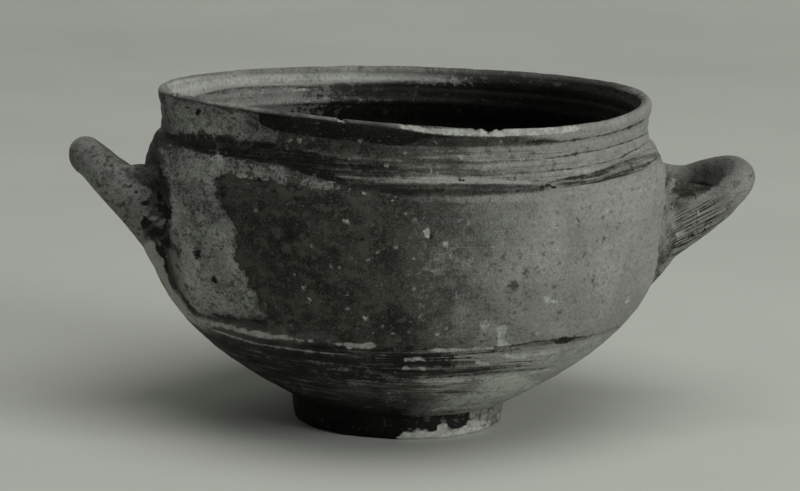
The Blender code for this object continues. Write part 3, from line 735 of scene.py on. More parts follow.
def make_foot():
    rows = [(FOOT_R_TOP + 0.2, 8.7), (FOOT_R_TOP + 1.7, 7.7), (FOOT_R_TOP + 1.2, 7.05), (FOOT_R_TOP + 0.6, 6.5), (FOOT_R_TOP + 0.2, 5.9)]
    for f in np.linspace(0.08, 1, 12):
        rows.append((FOOT_R_TOP + 0.2 + (FOOT_R_BOTTOM - FOOT_R_TOP - 0.2) * f, 5.9 - 5.0 * f))
    for a in np.radians(np.linspace(-15, -90, 6)):
        rows.append((FOOT_R_BOTTOM - 0.9 + 0.9 * math.cos(a), 0.9 + 0.9 * math.sin(a)))
    for f in np.linspace(0.12, 0.88, 7):
        rows.append((FOOT_R_BOTTOM - 0.9 + (FOOT_R_INNER + 0.9 - FOOT_R_BOTTOM + 0.9) * f, 0.0))
    for a in np.radians(np.linspace(-90, -165, 6)):
        rows.append((FOOT_R_INNER + 0.9 + 0.9 * math.cos(a), 0.9 + 0.9 * math.sin(a)))
    for f in np.linspace(0.2, 1, 6):
        rows.append((FOOT_R_INNER - 0.4 * f, 0.9 + 3.7 * f))
    rows.append((FOOT_R_INNER + 2.0, 5.2))
    rows.append((FOOT_R_TOP - 3.5, 7.6))
    n, m = len(rows), 240
    r = np.array([q[0] for q in rows])
    z = np.array([q[1] for q in rows])
    theta = np.radians(90.0) + np.arange(m) * (2 * math.pi / m)
    ct, st = np.cos(theta), np.sin(theta)
    base = np.stack([np.outer(r, ct) + FOOT_SHIFT, np.outer(r, st), np.repeat(z[:, None], m, 1)], -1).reshape(-1, 3)
    rr, zz = np.repeat(r, m), np.repeat(z, m)
    front = base.copy()
    front[:, 1] = -np.abs(front[:, 1])
    p = to_px(front)
    outside = rr > FOOT_R_INNER + 3.0
    rough = wander(wander(p, 8.0, 2.0, 401), 4.0, 1.4, 411)
    pale = sd_poly(rough, FOOT_PALE)
    dark = sd_poly(rough, FOOT_DARK)
    # mask of the painted shadow on the left of the foot
    black = sd_poly(p, FOOT_SHADOW)
    spots = np.zeros(len(p))
    for x, y, a, b in FOOT_GREY:
        spots = np.maximum(spots, smooth(-1.0, 1.4, sd_blob(p, x, y, a, b)))
    tr, tz = np.gradient(r), np.gradient(z)
    ln = np.hypot(tr, tz) + 1e-9
    nr, nz = np.repeat(-tz / ln, m), np.repeat(tr / ln, m)
    normal = np.stack([nr * np.tile(ct, n), nr * np.tile(st, n), nz], -1)
    wear = smooth(3.2, 0.4, zz) * (rr > FOOT_R_INNER + 3)
    move = 0.35 * (fbm(base, 9.0, 5, 3) - 0.5) + 0.18 * (fbm(base, 2.4, 9, 2) - 0.5)
    move -= 0.7 * smooth(0.45, 0.75, fbm(base, 6.0, 29, 3)) * wear
    move = np.where(zz < 0.05, np.minimum(move, 0.0) * 0.3, move)
    final = base + normal * move[:, None]
    final[:, 2] = np.maximum(final[:, 2], 0.0)
    faces, uv = [], []
    s = np.concatenate([[0], np.cumsum(np.hypot(np.diff(r), np.diff(z)))])
    s /= s[-1] + 4.0
    half = m // 2
    for i in range(n):
        i2 = (i + 1) % n
        v0, v1 = s[i], (s[i2] if i2 else 1.0)
        for j in range(m):
            k = (j + 1) % m
            faces.append((i * m + j, i2 * m + j, i2 * m + k, i * m + k))
            second = j >= half
            off = 0.505 if second else 0.005
            u0 = 0.005 + 0.99 * (j - (half if second else 0)) / half
            u1 = 0.005 + 0.99 * (j + 1 - (half if second else 0)) / half
            uv += [(u0, off + 0.49 * v0), (u0, off + 0.49 * v1), (u1, off + 0.49 * v1), (u1, off + 0.49 * v0)]
    dirt = smooth(-2.5, 2.0, sd_poly(rough, FOOT_DIRT))
    paint = np.where(outside, np.maximum(np.clip(dark * PX_MM, -3, 3), 4.0 * dirt - 2.0), -0.6)
    strength = np.where(outside, 0.95 - 0.50 * dirt * smooth(3.0, -1.0, dark), 0.6)
    ink = np.where(outside, np.maximum(0.85 * smooth(-1.2, 1.6, dark), smooth(-6.0, 4.0, black)) * (1.0 - 0.75 * spots), 0.0)
    chip = np.where(outside, np.clip(pale * PX_MM, -2, 2), -0.35)
    dust_and_highlight = np.where(outside, 0.16 * smooth(468, 484, p[:, 0]) * (1.0 - dirt), 0.2)
    return new_object("foot_worn", to_part(final), faces,
                      {"paint": paint, "strength": strength, "ink": ink, "chip": chip,
                       "rings": np.zeros(len(zz)), "dust_and_highlight": dust_and_highlight, "fan": np.full(len(zz), 20.5),
                       "fan_width": np.zeros(len(zz)), "hair": np.zeros(len(zz)), "hair_mask": np.zeros(len(zz))}, uv)


# ----------------------------------------------------------------- handles
LEFT = dict(name="left", side=-1, reach=84.4, half=18.2, root=53.0, tip=70.5, rod_tip=4.35, rod_root=5.7, rise=0.866,
            drop=3.4, web=14.2, web_back=7.0, full=2.0, swell=4.0, crown=0.55, up=14.0, down=19.0, wide=11.0, proud=4.6)
RIGHT = dict(name="right", side=1, reach=89.2, half=20.5, root=51.1, tip=65.9, rod_tip=4.35, rod_root=5.4, rise=0.852,
             drop=0.0, web=13.5, web_back=12.5, full=0.0, swell=1.4, crown=0.0, up=14.0, down=17.0, wide=12.0, proud=4.4)


def tube(path, radii, sides=28):
    """Closed tube along a path (mm), capped flat at both ends."""
    n = len(path)
    tan = np.gradient(path, axis=0)
    tan /= np.linalg.norm(tan, axis=1)[:, None]
    side = np.cross(tan, np.array([0.0, 0.0, 1.0]))
    side /= np.linalg.norm(side, axis=1)[:, None]
    up = np.cross(side, tan)
    ang = np.arange(sides) * (2 * math.pi / sides)
    verts = (path[:, None, :] + radii[:, None, None]
             * (np.cos(ang)[None, :, None] * side[:, None, :] + np.sin(ang)[None, :, None] * up[:, None, :])).reshape(-1, 3)
    faces = []
    for i in range(n - 1):
        for j in range(sides):
            k = (j + 1) % sides
            faces.append((i * sides + j, i * sides + k, (i + 1) * sides + k, (i + 1) * sides + j))
    faces.append(tuple(reversed(range(sides))))
    faces.append(tuple(range((n - 1) * sides, n * sides)))
    return verts, faces


def smear(azimuth, root, up, down, half, proud):
    """Pad of clay drawn out along the wall, feathered to nothing at its edge."""
    seg, ring = 64, 22
    ang = np.arange(seg) * (2 * math.pi / seg)
    points, faces = [], []
    for face in (1, -1):
        for rho in np.linspace(0.0, 1.0, ring + 1)[1:]:
            u, v = rho * np.cos(ang), rho * np.sin(ang)
            z = root + np.where(v > 0, v * up, v * down)
            wide = half * (1.0 - np.where(v > 0, 0.25, 0.5) * np.abs(v))
            lift = 1.0 - rho * rho
            out = -0.8 + ((proud + 0.8) * lift ** 1.6 * (1.0 - 0.35 * np.abs(v)) if face > 0 else -2.0 * lift ** 0.5)
            r = plain_radius(z) + out
            t = azimuth + u * wide / BELLY_R
            points.append(np.stack([r * np.cos(t), r * np.sin(t), z], -1))
    middle = plain_radius(root)
    for out in (proud, -2.8):
        points.append(np.array([[(middle + out) * math.cos(azimuth), (middle + out) * math.sin(azimuth), root]]))
    for side in (0, 1):
        start = side * ring * seg
        pole = 2 * ring * seg + side
        for j in range(seg):
            k = (j + 1) % seg
            faces.append((pole, start + j, start + k))
            for i in range(ring - 1):
                faces.append((start + i * seg + j, start + (i + 1) * seg + j, start + (i + 1) * seg + k, start + i * seg + k))
    return np.concatenate(points), faces


def handle_line(h, n=141):
    t = np.linspace(0, math.pi, n)
    c, s = np.cos(t), np.sin(t)
    y = -h["half"] * np.sign(c) * np.abs(c) ** 0.8
    g = np.abs(s) ** h["rise"]
    root_x = math.sqrt(BELLY_R ** 2 - h["half"] ** 2) - 1.0
    x = root_x + (h["reach"] - root_x) * g
    z = h["root"] + (h["tip"] - h["root"]) * g - h["drop"] * smooth(0.0, h["half"], y)
    z = z + h["full"] * 4.0 * g * (1.0 - g)
    crown = h["crown"] * bump_at(g, 0.88, 0.12)
    x, z = x - 0.55 * crown, z + 0.75 * crown
    rod = h["rod_root"] + (h["rod_tip"] - h["rod_root"]) * np.clip(1.15 * g, 0, 1) ** h["swell"]
    return np.stack([h["side"] * x, y, z], -1), rod + 0.7 * crown


def make_handle(h):
    line, rod = handle_line(h)
    parts = [tube(line, rod)]
    spread = math.asin(h["half"] / BELLY_R)
    for way in (-1, 1):
        az = way * spread if h["side"] > 0 else math.pi - way * spread
        near = math.sin(az) < 0
        root = h["root"] - (0.0 if near else h["drop"])
        parts.append(smear(az, root + 1.0, h["up"], h["down"], h["wide"], h["proud"]))
        # clay drawn from the top of the arm up to the wall
        arm = line[26] if near else line[-27]
        high = np.array([(BELLY_R - 1.6) * math.cos(az), (BELLY_R - 1.6) * math.sin(az), root + (h["web"] if near else h["web_back"])])
        f = np.linspace(0, 1, 9)[:, None]
        web = high * (1 - f) + (arm + np.array([0, 0, 1.2])) * f
        parts.append(tube(web, np.full(9, 3.6)))
    verts, faces = [], []
    for v, f in parts:
        off = sum(len(q) for q in verts)
        verts.append(v)
        faces += [tuple(k + off for k in q) for q in f]
    # the handles lie along X in the part's own frame
    mesh = bpy.data.meshes.new("raw")
    mesh.from_pydata((np.concatenate(verts) * 0.001).tolist(), [], faces)
    bm = bmesh.new()
    bm.from_mesh(mesh)
    bmesh.ops.remove_doubles(bm, verts=bm.verts, dist=1e-7)
    bmesh.ops.recalc_face_normals(bm, faces=bm.faces)
    bm.to_mesh(mesh)
    bm.free()
    raw = bpy.data.objects.new("raw", mesh)
    scene.collection.objects.link(raw)
    rem = raw.modifiers.new("fuse", 'REMESH')
    rem.mode = 'VOXEL'
    rem.voxel_size = 0.00055
    soft = raw.modifiers.new("soften", 'SMOOTH')
    soft.factor = 0.5
    soft.iterations = 22
    bpy.context.view_layer.update()
    done = bpy.data.meshes.new_from_object(raw.evaluated_get(bpy.context.evaluated_depsgraph_get()))
    bpy.data.objects.remove(raw, do_unlink=True)
    nv = len(done.vertices)
    co = np.empty(nv * 3)
    done.vertices.foreach_get("co", co)
    co = co.reshape(-1, 3) * 1000.0
    no = np.empty(nv * 3)
    done.vertices.foreach_get("normal", no)
    no = no.reshape(-1, 3)
    # thumbed, uneven surface
    co = co + no * (0.7 * (fbm(co, 11.0, 91, 2) - 0.5) + 0.22 * (fbm(co, 2.6, 95, 2) - 0.5))[:, None]
    c, s = math.cos(TURN), math.sin(TURN)
    view = co.copy()
    view[:, 0] = co[:, 0] * c - co[:, 1] * s
    view[:, 1] = co[:, 0] * s + co[:, 1] * c
    p = to_px(view)
    faces = [tuple(q.vertices) for q in done.polygons]
    fields = handle_fields(h, p, co)
    obj = new_object("handle_%s_worn" % h["name"], co * 0.001, faces, fields)
    bpy.data.meshes.remove(done)
    return obj


LEFT_DARK = [(122, 168), (132, 162), (146, 158), (158, 150), (165, 174), (174, 189), (176, 197), (170, 203), (174, 222), (176, 249),
             (164, 258), (153, 246), (143, 229), (136, 226), (147, 220), (151, 210), (146, 201), (151, 193), (151, 188),
             (143, 185), (132, 182), (124, 180)]
LEFT_BLACK = [(147, 201.5, 4.0, 3.0), (160, 207, 6.5, 5.0), (147, 222, 5.0, 4.0), (168, 216, 4.0, 9.0), (157, 231, 8.0, 4.0),
              (163, 244, 6.0, 7.0), (170, 240, 4.0, 7.0), (138, 227, 2.0, 1.8), (153, 243, 2.4, 2.0), (137, 191, 2.0, 2.0),
              (160, 196, 4.0, 3.0), (129, 187, 1.8, 1.4), (142, 212, 2.0, 1.8)]
LEFT_ISLANDS = [(155, 217, 4.6, 2.6), (161, 222, 4.0, 3.0), (157, 241, 4.0, 3.0), (149, 238, 3.0, 2.0)]
LEFT_TAIL = ([(159, 247), (162, 256), (165, 262), (167, 268), (170, 277), (173, 284), (176.5, 290.5), (179, 295)],
             [9, 7, 5.5, 4.6, 5, 5.5, 4.4, 1.5])
# inside the right loop: partly dark paint, partly painted shade where the loop's inner side lies in shadow
RIGHT_CAVITY_SHADE = [(681, 192), (688, 176), (696, 167), (705, 161.5), (718, 157.5), (727, 156), (735, 160), (737, 168), (731, 178),
              (722, 186), (706, 193), (694, 199), (684, 199)]
RIGHT_SHADE = [(674, 190), (680, 182), (694, 176), (712, 174), (724, 174), (720, 185), (707, 190), (692, 197), (678, 198)]
RIGHT_COMBED = [(676, 214), (700, 202), (722, 193), (738, 199), (739, 208), (724, 222), (704, 240), (686, 250), (672, 256), (672, 244)]
RIGHT_SMEAR = ([(668, 226), (674, 238), (668, 250), (660, 262), (655, 274), (650, 287)], [8, 12, 12, 9, 7, 4])
RIGHT_BLOT = ([(690, 236), (704, 228), (716, 220)], [9, 10, 5])


def handle_fields(h, p, co):
    n = len(p)
    plain = p
    p = wander(wander(p, 9.0, 2.2, 301), 4.0, 1.6, 311)
    ink, dust_and_highlight = np.zeros(n), np.zeros(n)
    hair, hair_mask = np.zeros(n), np.zeros(n)
    chip = np.full(n, -2.0)
    strength = np.full(n, 0.40)
    if h["side"] < 0:
        soft = 1.0 + 2.2 * smooth(150, 130, p[:, 0])
        shade = smooth(-1.8, 1.8, sd_poly(p, LEFT_DARK) / soft)
        ink = (0.17 - 0.14 * smooth(150, 136, p[:, 0])) * shade
        strength = np.maximum(strength, (0.88 - 0.20 * smooth(148, 130, p[:, 0])) * shade)
        ink = np.maximum(ink, 1.1 * smooth(-1.2, 0.9, sd_line(plain, *LEFT_TAIL)))
        for x, y, a, b in LEFT_BLACK:
            ink = np.maximum(ink, 0.95 * smooth(-1.2, 1.2, sd_blob(p, x, y, a, b)))
        for x, y, a, b in LEFT_ISLANDS:
            k = smooth(-0.8, 1.2, sd_blob(p, x, y, a, b))
            ink, strength = ink * (1 - 0.6 * k), strength * (1 - 0.55 * k)
        strength = strength - 0.10 * smooth(100, 80, p[:, 0])
        strength = strength - 0.36 * smooth(152, 143, p[:, 1])
        spots = np.maximum(smooth(0.66, 0.84, noise3(co, 0.95, 331)), 0.4 * smooth(0.60, 0.84, noise3(co, 2.0, 337)))
        strength = strength + 0.36 * spots
        # the same painted highlight along the left contour, over the handle's root
        pale = smooth(-1.6, 1.6, sd_poly(p, EDGE_HIGHLIGHT))
        dust_and_highlight, ink, strength = -0.55 * pale, ink * (1.0 - pale), strength * (1.0 - 0.7 * pale)
    else:
        # painted shade, with some dark paint, inside the right loop
        ink = 0.05 * smooth(-3.0, 4.0, sd_poly(p, RIGHT_CAVITY_SHADE))
        strength = np.maximum(strength, 0.50 * smooth(-5.0, 3.0, sd_poly(p, RIGHT_CAVITY_SHADE)))
        shade = sd_poly(p, RIGHT_SHADE)
        near = smooth(-3.0, -9.0, co[:, 1])
        ink = np.maximum(ink, 0.42 * smooth(-6.0, 4.0, shade) * np.maximum(smooth(181.0, 187.0, p[:, 1]), near))
        strength = np.maximum(strength, 1.05 * smooth(-6.0, 2.0, shade) * np.maximum(smooth(178.0, 185.0, p[:, 1]), near))
        along = (plain[:, 0] - 681.0) * 0.879 - (plain[:, 1] - 231.0) * 0.478
        across = (plain[:, 0] - 681.0) * 0.478 + (plain[:, 1] - 231.0) * 0.879 + 0.0009 * (along - 30.0) ** 2
        hair = across / 3.0
        hair_mask = smooth(-1.5, 3.0, sd_poly(p, RIGHT_COMBED)) * (1.0 - 0.60 * smooth(708, 730, p[:, 0]))
        strength = strength - 0.20 * hair_mask
        smear_at = smooth(-2.5, 2.5, sd_line(p, *RIGHT_SMEAR))
        ink = np.maximum(ink, 0.12 * smear_at)
        ink = np.maximum(ink, 0.36 * smooth(-2.0, 3.0, sd_line(p, *RIGHT_BLOT)))
        strength = np.maximum(strength, 0.60 * smear_at)
        dust_and_highlight = 0.42 * smooth(-1.0, 1.4, sd_blob(p, 680, 234.5, 3.4, 5.2, 0.3))
        ink = ink * (1 - dust_and_highlight)
        strength = strength - 0.06 * smooth(735, 748, p[:, 0])
        strength = strength - 0.3 * smooth(692, 682, p[:, 0]) * smooth(181, 174, p[:, 1])
    return {"paint": np.full(n, 2.5), "strength": strength, "ink": ink, "chip": chip, "rings": np.zeros(n), "dust_and_highlight": dust_and_highlight,
            "fan": np.full(n, 20.5), "fan_width": np.zeros(n), "hair": hair, "hair_mask": hair_mask}


# --------------------------------------------------------------- materials
class Net:
    """Short names for building shader nodes."""

    def __init__(self, name):
        self.mat = bpy.data.materials.new(name)
        self.mat.use_nodes = True
        self.t = self.mat.node_tree
        self.bsdf = self.t.nodes["Principled BSDF"]

    def put(self, socket, value):
        if isinstance(value, bpy.types.NodeSocket):
            self.t.links.new(value, socket)
        else:
            socket.default_value = value

    def node(self, kind, **props):
        n = self.t.nodes.new(kind)
        for k, v in props.items():
            setattr(n, k, v)
        return n

    def math(self, op, a, b=0.0, c=0.0, clamp=False):
        n = self.node("ShaderNodeMath", operation=op, use_clamp=clamp)
        for i, v in enumerate((a, b, c)):
            self.put(n.inputs[i], v)
        return n.outputs[0]

    def add(self, a, b):
        return self.math('ADD', a, b)

    def mul(self, a, b):
        return self.math('MULTIPLY', a, b)

    def off(self, a, k):
        """(a - 0.5) * k"""
        return self.math('MULTIPLY_ADD', a, k, -0.5 * k)

    def step(self, a, lo, hi):
        n = self.node("ShaderNodeMapRange", interpolation_type='SMOOTHSTEP', clamp=True)
        self.put(n.inputs["Value"], a)
        n.inputs["From Min"].default_value = min(lo, hi)
        n.inputs["From Max"].default_value = max(lo, hi)
        n.inputs["To Min"].default_value = 0.0 if lo < hi else 1.0
        n.inputs["To Max"].default_value = 1.0 if lo < hi else 0.0
        return n.outputs["Result"]

    def attr(self, name):
        return self.node("ShaderNodeAttribute", attribute_type='GEOMETRY', attribute_name=name).outputs["Fac"]

    def place(self, scale=(1, 1, 1)):
        tc = self.node("ShaderNodeTexCoord")
        mp = self.node("ShaderNodeMapping")
        mp.inputs["Scale"].default_value = scale
        self.t.links.new(tc.outputs["Object"], mp.inputs["Vector"])
        return mp.outputs["Vector"]

    def noise(self, vec, scale, detail=3.0, rough=0.55, warp=0.0):
        n = self.node("ShaderNodeTexNoise", noise_dimensions='3D')
        self.put(n.inputs["Vector"], vec)
        n.inputs["Scale"].default_value = scale
        n.inputs["Detail"].default_value = detail
        n.inputs["Roughness"].default_value = rough
        n.inputs["Distortion"].default_value = warp
        return n.outputs["Fac"]

    def cells(self, vec, scale):
        n = self.node("ShaderNodeTexVoronoi", feature='F1')
        self.put(n.inputs["Vector"], vec)
        n.inputs["Scale"].default_value = scale
        n.inputs["Randomness"].default_value = 1.0
        sep = self.node("ShaderNodeSeparateColor")
        self.t.links.new(n.outputs["Color"], sep.inputs[0])
        return n.outputs["Distance"], sep.outputs[0], sep.outputs[1]

    def mix(self, fac, a, b):
        n = self.node("ShaderNodeMix", data_type='RGBA', blend_type='MIX', clamp_factor=True)
        self.put(n.inputs[0], fac)
        self.put(n.inputs[6], a)
        self.put(n.inputs[7], b)
        return n.outputs[2]

    def mixf(self, fac, a, b):
        n = self.node("ShaderNodeMix", data_type='FLOAT', clamp_factor=True)
        self.put(n.inputs[0], fac)
        self.put(n.inputs[2], a)
        self.put(n.inputs[3], b)
        return n.outputs[0]


def grey(v):
    """A grey that is faintly green, and warmer where it is dark."""
    warm = 0.055 + 0.20 * max(0.0, 1.0 - v / 0.09)
    return (v, v * 1.035, v * (1.0 - warm), 1.0)


def worn_paint(name, clay=0.262, dark=0.0292, ink=0.0055, chip=0.455):
    g = Net(name)
    here = g.place((1.0, 0.45, 1.0))
    ringwise = g.place((0.045, 0.045, 1.0))
    grain = g.noise(here, 2300.0, 2.0, 0.6)
    fine = g.noise(here, 1000.0, 3.0, 0.6)
    mid = g.noise(here, 320.0, 4.0, 0.6)
    big = g.noise(here, 80.0, 3.0, 0.55)
    streak = g.noise(ringwise, 1250.0, 3.0, 0.6)
    hair = g.noise(g.place((0.03, 0.03, 1.0)), 2300.0, 2.0, 0.6)
    blot = g.noise(here, 560.0, 3.0, 0.6)
    patch = g.noise(here, 150.0, 3.0, 0.55)

    paint, strength, inked, chipped, rings, dust_and_highlight_field = [g.attr(k) for k in ("paint", "strength", "ink", "chip", "rings", "dust_and_highlight")]

    # bare clay: mottled, with fine dark grit
    bare = g.mix(g.step(big, 0.32, 0.68), grey(clay * 0.88), grey(clay * 1.05))
    bare = g.mix(g.mul(g.step(fine, 0.55, 0.30), 0.40), bare, grey(clay * 0.55))
    bare = g.mix(g.mul(g.step(grain, 0.56, 0.72), 0.45), bare, grey(clay * 0.50))
    bare = g.mix(g.mul(g.step(grain, 0.42, 0.28), 0.35), bare, grey(clay * 1.35))

    # what is left of the dark paint
    rough_edge = g.add(g.add(g.off(mid, 4.0), g.off(fine, 3.6)), g.add(g.off(grain, 1.8), g.off(blot, 3.4)))
    area = g.step(g.add(paint, rough_edge), -0.32, 0.32)
    left = g.add(strength, g.add(g.add(g.off(blot, 1.8), g.off(mid, 1.5)), g.add(g.off(streak, 0.30), g.off(fine, 1.3))))
    left = g.add(left, g.mul(rings, g.off(hair, 2.2)))
    left = g.step(left, 0.0, 1.0)
    stain = g.mul(g.mul(strength, 0.62), g.step(g.add(mid, g.add(g.off(blot, 0.9), g.off(fine, 0.5))), 0.44, 0.74))
    stain = g.math('MAXIMUM', stain, g.math('MULTIPLY_ADD', strength, 0.27, -0.27))
    cover = g.mixf(area, stain, left)
    dull = g.mix(g.step(g.add(mid, g.off(blot, 0.9)), 0.30, 0.70), grey(dark * 0.66), grey(dark * 1.32))
    dull = g.mix(g.mul(g.step(fine, 0.56, 0.74), 0.5), dull, grey(dark * 2.3))
    tone = g.mix(cover, bare, dull)

    # brush strokes and blots
    frayed = g.add(g.add(g.off(streak, 0.9), g.off(fine, 1.9)), g.add(g.off(grain, 1.2), g.off(mid, 1.7)))
    frayed = g.add(frayed, g.add(g.off(blot, 1.9), g.mul(rings, g.off(hair, 2.4))))
    stroke = g.mul(g.step(g.add(inked, frayed), 0.27, 0.73), g.step(inked, 0.02, 0.16))
    fan, fan_w = g.attr("fan"), g.attr("fan_width")
    apart = g.math('SUBTRACT', 0.5, g.math('ABSOLUTE', g.math('SUBTRACT', g.math('FRACT', fan), 0.5)))
    span = g.math('ABSOLUTE', fan_w)
    room = g.mul(span, g.add(1.0, g.add(g.off(blot, 2.6), g.off(mid, 2.2))))
    line = g.math('DIVIDE', g.math('SUBTRACT', room, apart), g.math('MAXIMUM', g.mul(span, 1.0), 0.006), clamp=True)
    pale_line = g.mul(line, g.math('LESS_THAN', fan_w, 0.0))
    stroke = g.math('MAXIMUM', stroke, g.mul(g.mul(line, 0.93), g.math('GREATER_THAN', fan_w, 0.0)))
    # loose hairs of the brush: thin lines of uneven weight along one direction
    lay = g.node("ShaderNodeCombineXYZ")
    g.put(lay.inputs[0], g.mul(g.attr("hair"), 2.6))
    spot = g.node("ShaderNodeSeparateXYZ")
    g.t.links.new(here, spot.inputs[0])
    g.put(lay.inputs[1], g.mul(g.add(spot.outputs[0], spot.outputs[2]), 55.0))
    hairs = g.add(g.noise(lay.outputs[0], 1.0, 2.0, 0.65), g.add(g.off(fine, 0.25), g.off(grain, 0.25)))
    stroke = g.math('MAXIMUM', stroke, g.mul(g.mul(g.step(hairs, 0.45, 0.57), 0.95), g.attr("hair_mask")))
    tone = g.mix(stroke, tone, g.mix(g.step(grain, 0.5, 0.75), grey(ink), grey(ink * 2.6)))

    # unevenness of the surface, strongest on the paint
    stops = g.add(g.add(g.off(fine, 2.0), g.off(grain, 2.2)), g.add(g.off(mid, 1.8), g.off(blot, 2.4)))
    wide = g.add(g.add(g.off(patch, 2.2), g.off(big, 1.2)), g.off(streak, 0.5))
    stops = g.add(stops, g.mul(wide, g.mixf(strength, 0.10, 1.0)))
    stops = g.mul(stops, g.mixf(strength, g.mixf(cover, 0.33, 3.0), g.mixf(cover, 1.9, 2.9)))
    stops = g.math('MINIMUM', stops, 0.64)
    lit = g.node("ShaderNodeVectorMath", operation='SCALE')
    g.put(lit.inputs[0], tone)
    g.put(lit.inputs["Scale"], g.math('POWER', 2.0, stops))
    tone = lit.outputs[0]

    # thin pale dust, which also carries the painted highlight on the top of the inner ledge
    dust_and_highlight_mask = g.add(g.add(g.off(fine, 1.3), g.off(grain, 0.9)), g.off(mid, 1.0))
    dust_and_highlight_mask = g.mul(g.step(g.add(dust_and_highlight_field, dust_and_highlight_mask), 0.12, 0.80), g.step(dust_and_highlight_field, 0.02, 0.12))
    tone = g.mix(g.mul(dust_and_highlight_mask, 0.85), tone, grey(chip * 0.88))

    # thin even film, where the dust field is below nought; it also carries the painted highlight along the left contour
    film_and_highlight = g.math('MAXIMUM', g.mul(dust_and_highlight_field, -1.0), 0.0)
    film_and_highlight = g.mul(film_and_highlight, g.add(1.0, g.add(g.off(fine, 1.0), g.off(blot, 1.4))))
    film_and_highlight_tone = g.node("ShaderNodeVectorMath", operation='SCALE')
    g.put(film_and_highlight_tone.inputs[0], bare)
    film_and_highlight_tone.inputs["Scale"].default_value = 1.62
    tone = g.mix(film_and_highlight, tone, film_and_highlight_tone.outputs[0])

    # flaked edges and chips
    flaky = g.add(g.add(g.off(mid, 0.7), g.off(fine, 0.6)), g.off(grain, 0.4))
    flake = g.math('MAXIMUM', g.step(g.add(chipped, flaky), -0.24, 0.24), g.mul(pale_line, 0.8))
    pale = g.mix(g.step(g.add(fine, g.add(g.off(grain, 0.8), g.off(mid, 1.2))), 0.34, 0.66), grey(chip * 0.56), grey(chip * 0.84))
    tone = g.mix(flake, tone, pale)

    # scattered specks: pale flakes, dark pits
    uneven = g.add(g.off(fine, 0.9), g.off(grain, 0.9))
    d, pick, size = g.cells(here, 460.0)
    d = g.add(d, uneven)
    speck = g.mul(g.step(g.math('SUBTRACT', g.mul(size, 0.26), d), 0.0, 0.10), g.step(pick, 0.80, 0.82))
    tone = g.mix(g.mul(speck, g.mixf(inked, 0.42, 0.02)), tone, grey(chip * 0.9))
    d2, pick2, size2 = g.cells(g.place((1.03, 0.97, 1.01)), 430.0)
    d2 = g.add(d2, uneven)
    pit = g.mul(g.step(g.math('SUBTRACT', g.mul(size2, 0.24), d2), 0.0, 0.08), g.step(pick2, 0.84, 0.86))
    tone = g.mix(g.mul(pit, g.mixf(strength, 0.26, 0.55)), tone, grey(ink * 1.6))

    g.put(g.bsdf.inputs["Base Color"], tone)
    rough = g.mixf(cover, 0.86, 0.62)
    rough = g.add(rough, g.off(fine, 0.2))
    rough = g.mixf(flake, rough, 0.92)
    g.put(g.bsdf.inputs["Roughness"], rough)
    g.bsdf.inputs["Specular IOR Level"].default_value = 0.15

    height = g.add(g.mul(fine, 0.55), g.mul(grain, 0.30))
    height = g.add(height, g.mul(streak, 0.30))
    height = g.add(height, g.mul(cover, 0.30))
    height = g.math('SUBTRACT', height, g.mul(flake, 0.6))
    height = g.math('SUBTRACT', height, g.mul(pit, 0.9))
    bump = g.node("ShaderNodeBump")
    bump.inputs["Strength"].default_value = 0.6
    bump.inputs["Distance"].default_value = 0.00024
    g.put(bump.inputs["Height"], height)
    g.t.links.new(bump.outputs["Normal"], g.bsdf.inputs["Normal"])
    return g.mat


def studio_paper(name, value):
    g = Net(name)
    here = g.place()
    soft = g.noise(here, 6.0, 3.0, 0.5)
    fibre = g.noise(here, 900.0, 2.0, 0.5)
    tone = g.mix(g.step(soft, 0.3, 0.7), grey(value * 0.97), grey(value * 1.02))
    tone = g.mix(g.mul(g.step(fibre, 0.55, 0.75), 0.10), tone, grey(value * 0.85))
    g.put(g.bsdf.inputs["Base Color"], tone)
    g.bsdf.inputs["Roughness"].default_value = 0.95
    g.bsdf.inputs["Specular IOR Level"].default_value = 0.1
    return g.mat


# ---------------------------------------------------------------- assembly
wall_mat = worn_paint("worn_painted_clay")
handle_mat = worn_paint("worn_handle_clay", clay=0.25)
foot_mat = worn_paint("worn_foot_clay", ink=0.0035, chip=0.57)

bowl = make_bowl()
bowl.data.materials.append(wall_mat)
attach(bowl, "root")
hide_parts("bowl_body")

foot = make_foot()
foot.data.materials.append(foot_mat)
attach(foot, "root")
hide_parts("foot_ring")

for h in (LEFT, RIGHT):
    obj = make_handle(h)
    obj.data.materials.append(handle_mat)
    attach(obj, "root")
    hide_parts("handle_" + h["name"], "root_pad_%s_front" % h["name"], "root_pad_%s_back" % h["name"])

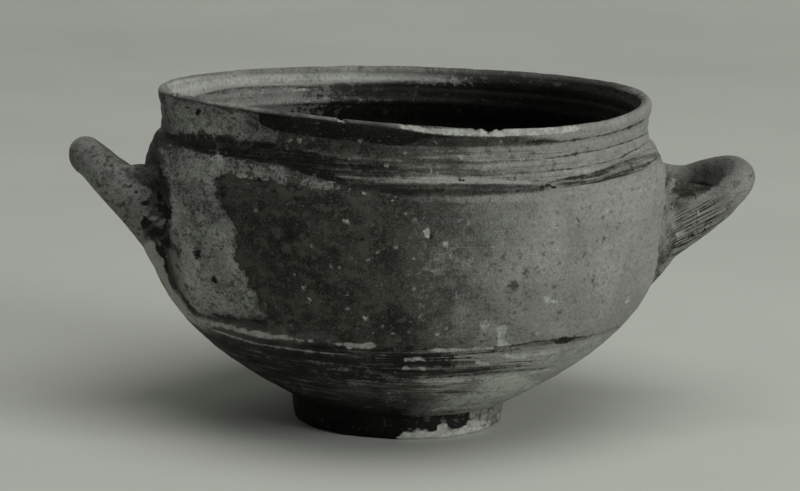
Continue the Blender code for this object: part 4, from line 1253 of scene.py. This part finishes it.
# ------------------------------------------------------------------- stage
def make_stage():
    """Pale paper that runs level and then sweeps up behind, seen from the camera's side."""
    path = [(-2.2, 0.0)]
    path += [(y, 0.0) for y in np.linspace(-1.6, 0.9, 12)]
    for a in np.linspace(0.08, 1.0, 14) * math.pi / 2:
        path.append((0.9 + 0.9 * math.sin(a), 0.9 - 0.9 * math.cos(a)))
    path += [(1.8, 1.6), (1.8, 2.6)]
    xs = np.linspace(-2.6, 2.6, 9)
    c, s = math.cos(-TURN), math.sin(-TURN)
    verts = np.array([(x * c - y * s, x * s + y * c, z) for y, z in path for x in xs])
    k = len(xs)
    faces = [(i * k + j, i * k + j + 1, (i + 1) * k + j + 1, (i + 1) * k + j)
             for i in range(len(path) - 1) for j in range(k - 1)]
    obj = new_object("studio_floor", verts, faces)
    obj.data.materials.append(studio_paper("studio_paper", 0.62))
    return obj


make_stage()


def area_light(name, where, aim, size, power):
    data = bpy.data.lights.new(name, 'AREA')
    data.shape = 'DISK'
    data.size = size
    data.energy = power
    data.color = (1.0, 1.0, 0.985)
    obj = bpy.data.objects.new(name, data)
    c, s = math.cos(-TURN), math.sin(-TURN)
    spin = lambda v: Vector((v[0] * c - v[1] * s, v[0] * s + v[1] * c, v[2]))
    obj.location = spin(where)
    obj.rotation_euler = (spin(aim) - spin(where)).to_track_quat('-Z', 'Y').to_euler()
    scene.collection.objects.link(obj)
    return obj


area_light("low_window", (1.63, -1.02, 0.56), (0.0, 0.0, 0.04), 0.95, 19.0)
area_light("ceiling", (0.35, -0.75, 2.2), (0.0, 0.0, 0.0), 2.2, 25.0)
area_light("backdrop_wash", (-0.9, 0.8, 2.0), (-0.4, 1.9, 0.6), 1.0, 2.0)

world = bpy.data.worlds.new("soft_room")
scene.world = world
world.use_nodes = True
world.node_tree.nodes["Background"].inputs["Color"].default_value = (1.0, 1.0, 0.985, 1.0)
world.node_tree.nodes["Background"].inputs["Strength"].default_value = 0.11

cam_data = bpy.data.cameras.new("view")
cam_data.sensor_fit = 'HORIZONTAL'
cam_data.sensor_width = 36.0
cam_data.lens = FOCAL * 36.0 / WIDE
cam_data.clip_start = 0.05
cam = bpy.data.objects.new("view", cam_data)
turn = Matrix.Rotation(-TURN, 3, 'Z')
axes = Matrix((tuple(CAM_X), tuple(CAM_Y), tuple(-LOOK))).transposed()
world_axes = (turn @ axes).to_4x4()
world_axes.translation = turn @ Vector(EYE * 0.001)
cam.matrix_world = world_axes
scene.collection.objects.link(cam)
scene.camera = cam
scene.view_settings.view_transform = 'Standard'
